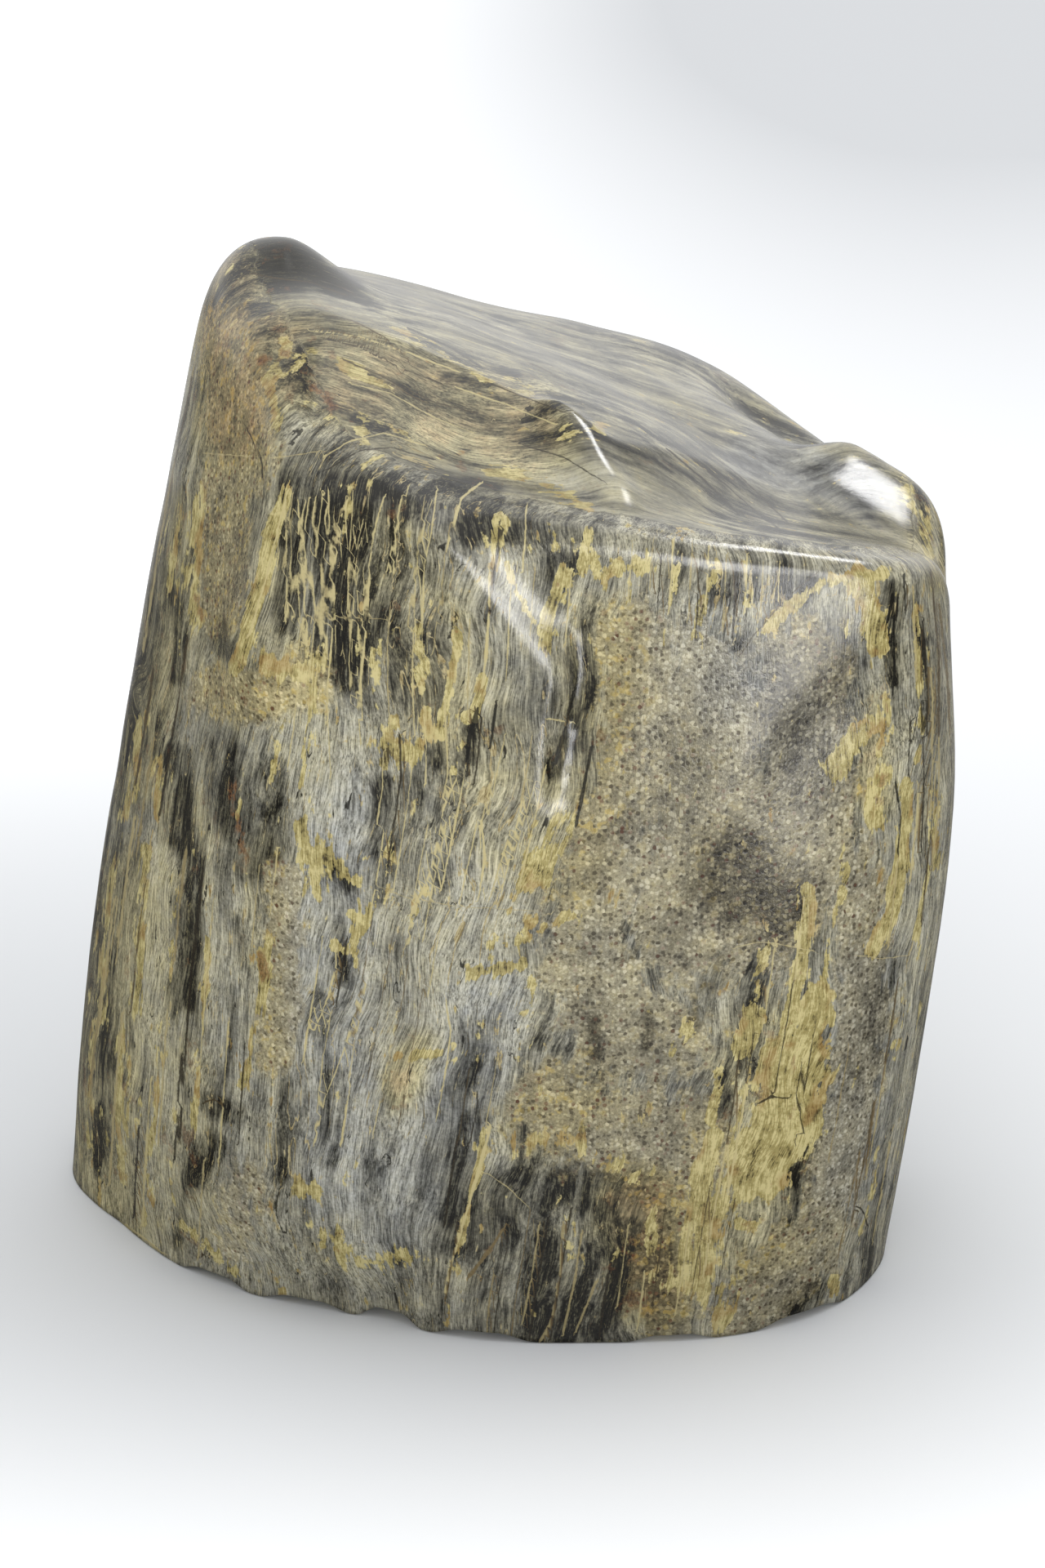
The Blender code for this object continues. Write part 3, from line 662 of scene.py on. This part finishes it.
# Fine lines that follow the grain, by shade and half-width: x and y of the upper end and y of the lower
GRAIN_STREAKS = {
    (1, 3): ((430, 1320, 1400),),
    (1, 2.5): ((352, 600, 780), (570, 940, 1090), (915, 1330, 1460), (985, 1100, 1200)),
    (1, 2.2): ((640, 980, 1090),),
    (1, 2): (
        (395, 605, 745), (424, 610, 800), (452, 690, 890), (492, 610, 700), (535, 600, 800), (645, 620, 700),
        (520, 880, 960), (825, 660, 750), (868, 670, 740), (915, 680, 750),
    ),
    (1, 1.8): ((378, 610, 760), (548, 1000, 1150), (584, 1010, 1120), (470, 1020, 1120), (395, 1150, 1300)),
    (1, 1.6): ((486, 1240, 1390),),
    (0.9, 3): ((790, 1560, 1625),),
    (0.9, 2.5): ((185, 1320, 1500), (1125, 960, 1080), (890, 1400, 1560)),
    (0.9, 2): (
        (505, 790, 900), (545, 860, 990), (668, 940, 1080), (700, 700, 790), (775, 665, 735), (955, 690, 740),
        (950, 1150, 1260), (845, 1500, 1610),
    ),
    (0.9, 1.8): ((280, 1250, 1420),),
    (0.9, 1.6): ((524, 1010, 1160), (448, 1200, 1330)),
    (0.9, 1.5): (
        (438, 700, 860), (466, 620, 720), (520, 640, 820), (628, 690, 830), (470, 920, 1010),
        (505, 930, 1100), (600, 960, 1010), (618, 900, 1000), (262, 1100, 1330), (340, 1040, 1120),
        (405, 1240, 1400), (540, 1130, 1220),
    ),
    (0.9, 1.4): ((402, 640, 820),),
    (0.9, 1.3): ((444, 640, 800),),
    (0.9, 1.2): ((370, 640, 740), (386, 620, 800)),
    (0.8, 3): ((165, 1000, 1180), (150, 1240, 1450), (140, 1100, 1250), (200, 640, 800)),
    (0.8, 2.5): ((205, 1240, 1400), (1118, 720, 830), (1140, 820, 1000)),
    (0.8, 2): (
        (690, 980, 1060), (250, 1420, 1540), (1150, 900, 1060), (1100, 1050, 1160), (1085, 1300, 1440),
        (770, 1500, 1600),
    ),
    (0.8, 1.8): ((1090, 1400, 1520),),
    (0.8, 1.5): (
        (362, 610, 700), (478, 740, 900), (575, 760, 880), (655, 700, 780), (652, 900, 980),
        (318, 1060, 1160), (610, 1290, 1380), (800, 660, 720), (848, 665, 760), (890, 680, 770),
        (935, 690, 760),
    ),
    (0.8, 1.3): ((412, 640, 790),),
    (0.8, 1.2): ((418, 620, 760),),
    (0.7, 3): ((228, 1040, 1180), (190, 900, 1050)),
    (0.7, 2.5): ((128, 1180, 1350), (215, 560, 700)),
    (0.7, 2): ((605, 1560, 1640),),
    (0.7, 1.5): ((1040, 1280, 1420),),
    (0.7, 1.2): ((552, 640, 760),),
    (0.6, 2.5): ((1150, 740, 900),),
    (0.6, 1.5): ((1055, 1400, 1540),),
    (0.6, 1.2): ((650, 1480, 1640),),
    (0.5, 1): ((455, 1130, 1280), (500, 1180, 1350)),
    (0.3, 2.5): ((178, 1080, 1240),),
    (0.3, 2): ((235, 460, 600), (1100, 1200, 1330), (1070, 1350, 1500)),
    (0.3, 1): ((480, 1150, 1330), (520, 1200, 1380)),
    (0.2, 3): ((230, 780, 900), (188, 820, 960)),
    (0.2, 2): (
        (118, 1080, 1200), (575, 1310, 1400), (1140, 1020, 1130), (560, 1500, 1590), (815, 1480, 1600),
    ),
    (0.2, 1.5): ((870, 1450, 1580), (900, 1470, 1600)),
    (0.1, 3): ((250, 1050, 1200), (240, 1130, 1400), (215, 880, 1000), (560, 1390, 1500), (745, 1560, 1635)),
    (0.1, 2.5): (
        (490, 900, 1060), (590, 880, 960), (170, 1380, 1490), (222, 1290, 1420), (425, 1150, 1230),
        (903, 690, 780), (1130, 760, 900),
    ),
    (0.1, 2): (
        (612, 640, 700), (300, 1280, 1400), (810, 680, 760), (858, 680, 780), (1115, 880, 950),
        (625, 1500, 1630), (672, 1490, 1640), (700, 1480, 1640),
    ),
    (0.1, 1.5): ((935, 1200, 1330), (975, 1180, 1340), (1000, 1250, 1400)),
}

# Each quality's value where no stroke is, on the wall and on the top. A stroke of a soft quality covers
# those before it; of the others' strokes the strongest counts
START = {"tone_and_sheen": 0.62, "warm": 0.48, "vein": 0.45, "gran": 0.0, "ochre": 0.0, "rust": 0.0}
TOP_START = {"tone_and_sheen": 0.40, "warm": 0.64, "vein": 0.20, "gran": 0.0, "ochre": 0.0, "rust": 0.0}
SOFT_QUALITIES = ("tone_and_sheen", "warm", "vein")

# From where backward the wall repeats the front's pattern, and over what depth it comes to be moved
FOLD_Y = 0.035
FOLD_DEPTH = 0.12

# Pixels: the room left round a fine line, how far it is felt, and a distance beyond all lines
LINE_MARGIN = 16
LINE_REACH = 6
NO_LINE = 99.0
STREAK_SPACING = 60


def pattern_pixels(points, topness):
    """Where in the photograph each point takes its pattern from: the back's wall repeats the front's."""
    x, y, z = points.T
    behind = (1 - topness) * np.maximum(0, y - FOLD_Y)
    folded = points.copy()
    folded[:, 1] = y - 2 * behind
    pixels = to_pixels(folded)

    # shifted and bent, so that the back isn't the front's mirror image
    moved = ease(behind / FOLD_DEPTH)
    pixels[:, 0] += moved * 90 * np.sin(9 * z + 14 * x)
    pixels[:, 1] += moved * (70 * np.sin(17 * x + 2) - 60)
    return pixels


def along_grain(x, top, bottom):
    """Pixels of a line that follows the grain down from x at the height top."""
    rows = np.linspace(top, bottom, 2 + int((bottom - top) / STREAK_SPACING))
    places = [[np.interp(row, track[:, 1], track[:, 0]) for track in GRAIN_TRACKS] for row in rows]
    numbers = np.arange(len(GRAIN_TRACKS))
    which = np.interp(x, places[0], numbers)
    shift = x - np.interp(which, numbers, places[0])
    return [(np.interp(which, numbers, place) + shift, row) for place, row in zip(places, rows)]


def fine_lines():
    """Each fine line's shade, half-width and pixels."""
    for shade, half_width, *line in FINE_LINES:
        yield shade, half_width, line
    for (shade, half_width), streaks in GRAIN_STREAKS.items():
        for streak in streaks:
            yield shade, half_width, along_grain(*streak)


def near_stroke(pixels, line, margin):
    """Which points lie within a margin of a stroke, and the stroke as an array."""
    line = np.reshape(line, (-1, 2)).astype(float)
    low, high = line.min(axis=0) - margin, line.max(axis=0) + margin
    return np.flatnonzero(np.all((pixels > low) & (pixels < high), axis=1)), line


def paint(points, topness):
    """The strokes' qualities at each point, as a value for each quality's name."""
    pixels = pattern_pixels(points, topness)
    values = {name: START[name] * (1 - topness) + TOP_START[name] * topness for name in START}
    for name, strokes in STROKES.items():
        painted = values[name]
        for value, half_width, *line in strokes:
            near, line = near_stroke(pixels, line, 2 * half_width)
            away = distance_to_line(pixels[near], line) / half_width
            if name in SOFT_QUALITIES:
                share = ease(1.5 - away)
                painted[near] = painted[near] * (1 - share) + value * share
            else:
                painted[near] = np.maximum(painted[near], value * np.clip(1 - 0.5 * away, 0, 1))

    # the fine lines: the distance to the nearest one, below zero on its left, then its width and shade
    side = np.full((len(points), 3), NO_LINE)
    for shade, half_width, line in fine_lines():
        near, line = near_stroke(pixels, line, LINE_MARGIN)
        spot = pixels[near]
        for start, end in zip(line, line[1:]):
            along = end - start
            share = np.clip((spot - start) @ along / (along @ along), 0, 1)
            gap = spot - start - share[:, None] * along
            away = np.hypot(gap[:, 0], gap[:, 1])
            turn = np.where(along[0] * gap[:, 1] - along[1] * gap[:, 0] < 0, -1, 1)
            closer = away < np.abs(side[near, 0])
            side[near[closer], 0] = (away * turn)[closer]
            side[near[closer], 1:] = half_width, shade
    values["fine_line"] = side
    values["fine_near"] = np.clip(1.5 - np.abs(side[:, 0]) / LINE_REACH, 0, 1)
    return values


# Building the stump
def built_mesh(name, build, **sizes):
    """A mesh of one of the plain shapes."""
    shell = bmesh.new()
    build(shell, **sizes)
    mesh = bpy.data.meshes.new(name)
    shell.to_mesh(mesh)
    shell.free()
    return mesh


def add_object(name, data):
    """A new object in the scene."""
    thing = bpy.data.objects.new(name, data)
    bpy.context.scene.collection.objects.link(thing)
    return thing


# On the top, how close a point is to the carved surface, and where inside the wall it stops being wall
TOP_NEARNESS = 0.03
WALL_DEPTH = 0.008
WALL_FADE = 0.016


def stump_object():
    """A globe whose rings are moved out to the stump's skin, with the grain and the strokes on it."""
    sphere = bmesh.ops.create_uvsphere
    mesh = built_mesh("stump_surface", sphere, u_segments=SEGMENTS, v_segments=ROWS, radius=1)
    globe = np.empty(len(mesh.vertices) * 3, np.float32)
    mesh.vertices.foreach_get("co", globe)
    globe = globe.reshape(-1, 3).astype(float)
    turn = np.arctan2(globe[:, 1], globe[:, 0]) + math.pi / 2
    bearing = np.degrees(turn - FRONT_CROWDING * np.sin(turn) - math.pi / 2) % 360
    share = np.degrees(np.arcsin(np.clip(globe[:, 2], -1, 1))) / 180 + 0.5
    points = surface_points(bearing, share)
    placed = points + np.array([AXIS_X, AXIS_Y, 0])
    mesh.vertices.foreach_set("co", placed.astype(np.float32).ravel())
    mesh.update()
    mesh.shade_smooth()

    # 1 on the top, 0 on the wall, changing over along the foot of the riser and the rim
    nearby = points[:, 2] > top_height(points[:, 0], points[:, 1]) - TOP_NEARNESS
    topness = np.where(nearby, ease((depth_inside(points) - WALL_DEPTH) / WALL_FADE), 0)
    add_attribute(mesh, "wall_grain", wall_grain(points))
    add_attribute(mesh, "top_grain", top_grain(points))
    add_attribute(mesh, "top", topness)
    for name, value in paint(points, topness).items():
        add_attribute(mesh, name, value)
    return add_object("stump", mesh)


def add_attribute(mesh, name, values):
    """Keeps a number or a vector with each of the mesh's points."""
    values = np.asarray(values, np.float32)
    kind = "FLOAT_VECTOR" if values.ndim == 2 else "FLOAT"
    attribute = mesh.attributes.new(name, kind, "POINT")
    attribute.data.foreach_set("vector" if kind == "FLOAT_VECTOR" else "value", values.ravel())


# The stone's material
def linear(code):
    """A colour written as #rrggbb, as the shader's own linear values."""
    parts = [int(code[i : i + 2], 16) / 255 for i in (1, 3, 5)]
    return tuple(c / 12.92 if c <= 0.04045 else ((c + 0.055) / 1.055) ** 2.4 for c in parts) + (1.0,)


class Term:
    """A value in a node tree that can be added, multiplied and so on."""

    def __init__(self, tree, socket):
        self.tree = tree
        self.socket = socket

    def math(self, operation, *others, clamp=False):
        """Arithmetic with numbers or other terms."""
        node = self.tree.nodes.new("ShaderNodeMath")
        node.operation = operation
        node.use_clamp = clamp
        connect(self.tree, (self, *others), node.inputs)
        return Term(self.tree, node.outputs[0])

    def __add__(self, other):
        return self.math("ADD", other)

    def __sub__(self, other):
        return self.math("SUBTRACT", other)

    def __mul__(self, other):
        return self.math("MULTIPLY", other)

    def clamped(self, offset=0.0):
        """The value and an offset, kept between 0 and 1."""
        return self.math("ADD", offset, clamp=True)

    def swing(self, weight):
        """How far the value is from its middle, 0.5, times a weight."""
        return (self - 0.5) * weight

    def step(self, low, high):
        """0 below low, 1 above high and a soft change between."""
        node = self.tree.nodes.new("ShaderNodeMapRange")
        node.interpolation_type = "SMOOTHSTEP"
        connect(self.tree, (self, low, high), node.inputs)
        return Term(self.tree, node.outputs[0])

    def scaled(self, factors):
        """A vector with each of its parts multiplied."""
        return self.vector("MULTIPLY", factors)

    def vector(self, operation, other):
        """Vector arithmetic, part by part."""
        node = self.tree.nodes.new("ShaderNodeVectorMath")
        node.operation = operation
        connect(self.tree, (self, other), node.inputs)
        return Term(self.tree, node.outputs[0])

    def noise(self, size, detail, roughness=0.5, colour=False):
        """Noise whose features are about size across; this term is the place."""
        node = self.tree.nodes.new("ShaderNodeTexNoise")
        connect(self.tree, (self,), [node.inputs["Vector"]])
        node.inputs["Scale"].default_value = 1 / size
        node.inputs["Detail"].default_value = detail
        node.inputs["Roughness"].default_value = roughness
        return Term(self.tree, node.outputs["Color" if colour else "Fac"])

    def cells(self, size, output="Distance"):
        """Irregular cells about size across; this term is the place."""
        node = self.tree.nodes.new("ShaderNodeTexVoronoi")
        connect(self.tree, (self,), [node.inputs["Vector"]])
        node.inputs["Scale"].default_value = 1 / size
        return Term(self.tree, node.outputs[output])

    def parts(self, kind="XYZ"):
        """The three parts of a vector, or of a colour where the kind is Color."""
        node = self.tree.nodes.new("ShaderNodeSeparate" + kind)
        connect(self.tree, (self,), node.inputs)
        return [Term(self.tree, socket) for socket in node.outputs]


def connect(tree, values, inputs):
    """Links terms to inputs, and sets numbers and colours, also ones written as #rrggbb, on them."""
    for value, slot in zip(values, inputs):
        if isinstance(value, Term):
            tree.links.new(value.socket, slot)
        else:
            slot.default_value = linear(value) if isinstance(value, str) else value


def coordinates(tree, kind):
    """The place that is shaded."""
    return Term(tree, tree.nodes.new("ShaderNodeTexCoord").outputs[kind])


def blend(share, low, high):
    """A colour between two, by share."""
    node = share.tree.nodes.new("ShaderNodeMix")
    node.data_type = "RGBA"
    slots = [s for s in node.inputs if s.enabled]
    connect(share.tree, (share, low, high), slots)
    return Term(share.tree, next(s for s in node.outputs if s.enabled))


def three_way(share, dark, middle, light):
    """A colour that runs from dark through middle to light."""
    return blend(share.step(0.5, 1.0), blend(share.step(0.0, 0.5), dark, middle), light)


def shades(level, share, *ranges):
    """Three-way colour by share, in which each of the three runs through its own range by level."""
    return three_way(share, *(blend(level, low, high) for low, high in ranges))


def new_material(name):
    """A material, its node tree and its shader."""
    material = bpy.data.materials.new(name)
    material.use_nodes = True
    return material, material.node_tree, material.node_tree.nodes["Principled BSDF"]


# Sizes in metres: the granular stone's cells and the depth of the bumps; a fine line's wiggle in pixels
GRAIN_CELL = 0.0023
BUMP_DEPTH = 0.00012
LINE_WIGGLE = 3.5


def stone_material():
    """Petrified wood, from the mesh's attributes and noise."""
    material, tree, shader = new_material("polished_petrified_wood")

    def attribute(name, vector=False):
        node = tree.nodes.new("ShaderNodeAttribute")
        node.attribute_name = name
        return Term(tree, node.outputs["Vector" if vector else "Fac"])

    place = coordinates(tree, "Object")
    # this attribute holds the stone's lightness and, in places, painted sheen
    tone_and_sheen, warm, vein = attribute("tone_and_sheen"), attribute("warm"), attribute("vein")

    # the grain's own coordinates, with the wall's given way to the top's along a ragged line
    patches = place.noise(0.012, 4, 0.6)
    on_top = (attribute("top") + patches.swing(0.8)).step(0.46, 0.54)
    grain = blend(on_top, attribute("wall_grain", True), attribute("top_grain", True))
    unrest = place.noise(0.055, 1).step(0.42, 0.66) * 1.5 + 0.6
    wander = place.noise(0.035, 0, colour=True).vector("SUBTRACT", (0.5, 0.5, 0.5))
    wiggle = place.noise(0.0075, 3, 0.6, colour=True).vector("SUBTRACT", (0.5, 0.5, 0.5))
    fibre = grain.vector("ADD", wander.scaled((0.014,) * 3))
    fibre = fibre.vector("ADD", wiggle.scaled((0.0006,) * 3).vector("MULTIPLY", unrest))
    grain = fibre.vector("ADD", wiggle.scaled((0.0020,) * 3).vector("MULTIPLY", unrest))

    lines = fibre.scaled((1, 1, 0.05)).noise(0.0015, 3, 0.75)
    bands = grain.scaled((1, 1, 0.09)).noise(0.011, 3, 0.55)
    hairs = fibre.scaled((1, 1, 0.07)).noise(0.0006, 2, 0.6)
    feather = grain.scaled((1, 1, 0.22)).noise(0.0045, 3, 0.6)
    blots = place.noise(0.020, 4, 0.62)
    specks = place.noise(0.0013, 3, 0.65)

    # wood that kept its grain
    level = tone_and_sheen + (bands.swing(1.7) + feather.swing(1.0)) * (unrest * 0.6 + 0.5) + blots.swing(1.1)
    below = level.math("MINIMUM", 0.0) * 0.35
    level = level.clamped()
    streak = below + lines.swing(2.5) + hairs.swing(2.2) + specks.swing(1.2)
    calm = on_top * warm.step(1.0, 0.75)
    streak = (streak * (calm * -0.55 + 1.0)).clamped(0.5)
    wood = shades(level, streak, ("#12110d", "#75746c"), ("#25241f", "#b0afa4"), ("#5f5d4f", "#d3d2c8"))

    # granular stone
    each, pick, _ = place.cells(GRAIN_CELL, "Color").parts("Color")
    middles = place.cells(GRAIN_CELL).step(0.55, 0.25)
    clumps = place.noise(0.006, 3, 0.6)
    grain_level = (each - 0.5) * middles * 1.6 + specks.swing(2.0) + clumps.swing(0.8)
    grain_level = grain_level.clamped(0.5)
    rough_level = (tone_and_sheen + blots.swing(1.4) + clumps.swing(0.6)).clamped()
    ranges = ("#25211a", "#736d5e"), ("#4a4537", "#aea995"), ("#827c66", "#d6d2c2")
    granular = shades(rough_level, grain_level, *ranges)
    red_grain = pick.step(0.86, 0.90) * middles * warm.step(0.2, 0.6)
    granular = blend(red_grain * 0.6, granular, "#5e3122")
    yellow_grain = pick.step(0.30, 0.24) * (clumps - 0.5).step(-0.05, 0.12) * warm.step(0.3, 0.8)
    granular = blend(yellow_grain * 0.55, granular, "#b9a766")
    ragged = patches.swing(1.3) + feather.swing(1.1) + specks.swing(0.25)
    in_grains = (attribute("gran") + ragged * 0.7).step(0.40, 0.60)
    stone = blend(in_grains, wood, granular)

    # yellower or greyer
    tint_share = warm + blots.swing(0.9) + feather.swing(0.5) + clumps.swing(0.4)
    tint = blend(tint_share, (0.97, 0.99, 1.05, 1), (1.12, 1.02, 0.68, 1))
    tint = blend(tint_share.step(1.0, 1.6), tint, (1.06, 0.82, 0.50, 1))
    stone = stone.vector("MULTIPLY", tint)

    # cream veins along the grain
    threads = grain.scaled((1, 1, 0.06)).noise(0.0085, 2.0, 0.5)
    near_thread = (threads - 0.5).math("ABSOLUTE")
    width = (vein - 0.34) * 0.024 + clumps.swing(0.05)
    in_vein = (width - near_thread).step(-0.002, 0.004) * (in_grains * -0.9 + 1.0)
    cream = blend(streak, "#85744a", "#cfc092")
    stone = blend(in_vein * 0.9, stone, cream)

    # black threads
    near_crack = (grain.scaled((1, 1, 0.09)).noise(0.013, 2.5, 0.55) - 0.5).math("ABSOLUTE")
    crack_width = (patches - 0.52) * 0.09
    in_crack = (crack_width - near_crack).step(-0.002, 0.005) * (in_grains * -0.7 + 1.0)
    stone = blend(in_crack * (calm * -0.5 + 0.9), stone, "#1d1b15")

    # ochre and yellow fillings
    seam = grain.scaled((1, 1, 0.30)).noise(0.015, 4, 0.6) + vein.swing(0.06) - in_grains * 0.2
    seam = (seam - 0.485 + clumps.swing(0.30)) * 3.0 - on_top * 0.3
    filling = attribute("ochre") + ragged + feather.swing(1.2)
    in_ochre = filling.math("MAXIMUM", seam).step(0.45, 0.55)
    ochre_level = streak.swing(0.7) + blots.swing(1.6) + clumps.swing(1.6) + 0.62
    ochre = three_way(ochre_level, "#4c4226", "#a89a60", "#d6c98f")
    amber = place.noise(0.018, 3, 0.6).step(0.50, 0.64) * warm.step(0.1, 0.6)
    amber = amber * attribute("ochre").step(1.15, 0.85) * 0.5
    ochre = blend(amber, ochre, "#9a733c")
    stone = blend(in_ochre * 0.94, stone, ochre)

    # rust
    stain = (place.noise(0.016, 4, 0.7) - 0.60).step(0.0, 0.06) * warm.step(0.5, 0.8)
    in_rust = (attribute("rust") * 0.85 + ragged * 1.6).step(0.45, 0.75).math("MAXIMUM", stain * 0.55)
    rust = blend(specks.step(0.3, 0.7), "#4a2818", "#8f6136")
    stone = blend(in_rust * 0.65, stone, rust)

    # the fine lines
    across, reach, shade = attribute("fine_line", True).parts()
    across = (across + wiggle.parts()[0] * LINE_WIGGLE + specks.swing(1.5)).math("ABSOLUTE")
    reach = reach * (feather.swing(1.4) + clumps.swing(0.6) + 0.44)
    in_line = (reach - across).step(-0.7, 0.7) * attribute("fine_near").step(0.5, 0.8)
    line_colour = three_way(shade + specks.swing(0.2), "#161510", "#6f5c3a", "#cdbf8b")
    stone = blend(in_line * 0.9, stone, line_colour)

    roughness = in_grains * 0.07 + specks.swing(0.10) + on_top * 0.04 + 0.17
    connect(tree, (stone, roughness), [shader.inputs["Base Color"], shader.inputs["Roughness"]])
    shader.inputs["IOR"].default_value = 1.50

    bump = tree.nodes.new("ShaderNodeBump")
    bump.inputs["Strength"].default_value = 1.0
    bump.inputs["Distance"].default_value = BUMP_DEPTH
    height = streak * 0.25 + in_grains * grain_level * 0.6 + hairs * 0.15
    connect(tree, (height,), [bump.inputs["Height"]])
    tree.links.new(bump.outputs["Normal"], shader.inputs["Normal"])
    return material


# The studio
LAMP_TARGET = (0, 0, 0.25)
WHITE = (1.0, 1.0, 1.0, 1.0)

# The floor lies a little below the stump's flat foot, so that no two faces share a plane
FLOOR_GAP = 0.0004
FLOOR_HALF_SIZE = 30


def add_camera():
    """The camera that took the photograph."""
    data = bpy.data.cameras.new("camera")
    data.sensor_width = SENSOR_WIDTH
    data.lens = data.sensor_width * FOCAL_PIXELS / PHOTO_HEIGHT
    data.dof.use_dof = False
    camera = add_object("camera", data)
    camera.location = Vector(CAMERA_PLACE) + Vector((AXIS_X, AXIS_Y, 0))
    camera.rotation_euler = (math.pi / 2 - CAMERA_ELEVATION, 0, 0)
    bpy.context.scene.camera = camera


def add_soft_box(name, place, size, power):
    """A lamp that is turned to the stump; its size is across and down, its power in watts."""
    light = bpy.data.lights.new(name, "AREA")
    light.shape = "RECTANGLE"
    light.size, light.size_y = size
    light.energy = power
    box = add_object(name, light)
    box.location = place
    box.rotation_euler = (Vector(LAMP_TARGET) - Vector(place)).to_track_quat("-Z", "Y").to_euler()
    return box


def floor_material():
    """White paper with painted light: an emission glow, strongest in front, duller behind at the right and by
    the stump, stands in for the lamps' uneven light.
    """
    material, tree, shader = new_material("floor_paper_painted_glow")
    x, y, _ = coordinates(tree, "Object").parts()
    right = x.step(-0.5, 0.5)
    beside = x.step(0.12, 0.36)
    behind = y.step(0.9, 4.0)
    far = y.step(0.2, 1.1)
    front = y.step(-0.05, -0.80)
    # painted light: the floor's glow, strong in front and far back on the left, weaker behind at the right
    # and nearly none by the stump
    glow = far * (right * -0.22 + 0.50) + right * behind * -0.40
    glow = glow + beside * (far * -1.0 + 1.0) * 0.10 + front * 0.95
    for name, value in (
        ("Base Color", (0.77, 0.79, 0.815, 1.0)),
        ("Roughness", 0.75),
        ("Specular IOR Level", 0.0),
        ("Emission Color", WHITE),
        ("Emission Strength", glow.math("MAXIMUM", 0.0)),
    ):
        connect(tree, (value,), [shader.inputs[name]])
    return material


def add_studio():
    """The room's light, the floor and the lamps, three of which are only seen as reflections."""
    world = bpy.data.worlds.new("studio")
    world.use_nodes = True
    tree = world.node_tree
    _, y, z = coordinates(tree, "Generated").parts()
    upper = y.step(0.2, 0.9) * 0.75 + z.step(0.15, 0.8) * 0.60 + 0.34
    lower = y.step(-0.35, -0.95) * 0.34 + y.step(0.90, 0.95) * 0.5 + 0.10
    glow = (upper - lower) * z.step(-0.12, 0.08) + lower
    background = tree.nodes["Background"].inputs
    connect(tree, (WHITE, glow), [background["Color"], background["Strength"]])
    bpy.context.scene.world = world
    bpy.context.scene.view_settings.view_transform = "Standard"

    grid = bmesh.ops.create_grid
    floor = add_object("floor", built_mesh("floor", grid, x_segments=1, y_segments=1, size=FLOOR_HALF_SIZE))
    floor.location.z = -FLOOR_GAP
    floor.visible_glossy = False
    floor.data.materials.append(floor_material())

    add_soft_box("overhead", (0.20, -0.10, 1.90), (1.2, 1.0), 5)
    for name, place, size, power in (
        ("gleam_above", (0.83, 0.10, 1.58), (0.45, 0.35), 11),
        ("gleam_front", (0.80, -1.64, 0.60), (0.95, 0.50), 17),
        ("gleam_low", (0.44, -0.57, 0.20), (0.14, 0.26), 1.0),
    ):
        add_soft_box(name, place, size, power).visible_diffuse = False


stump = stump_object()
stump.data.materials.append(stone_material())
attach(stump, "root")
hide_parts(NODE)
add_camera()
add_studio()
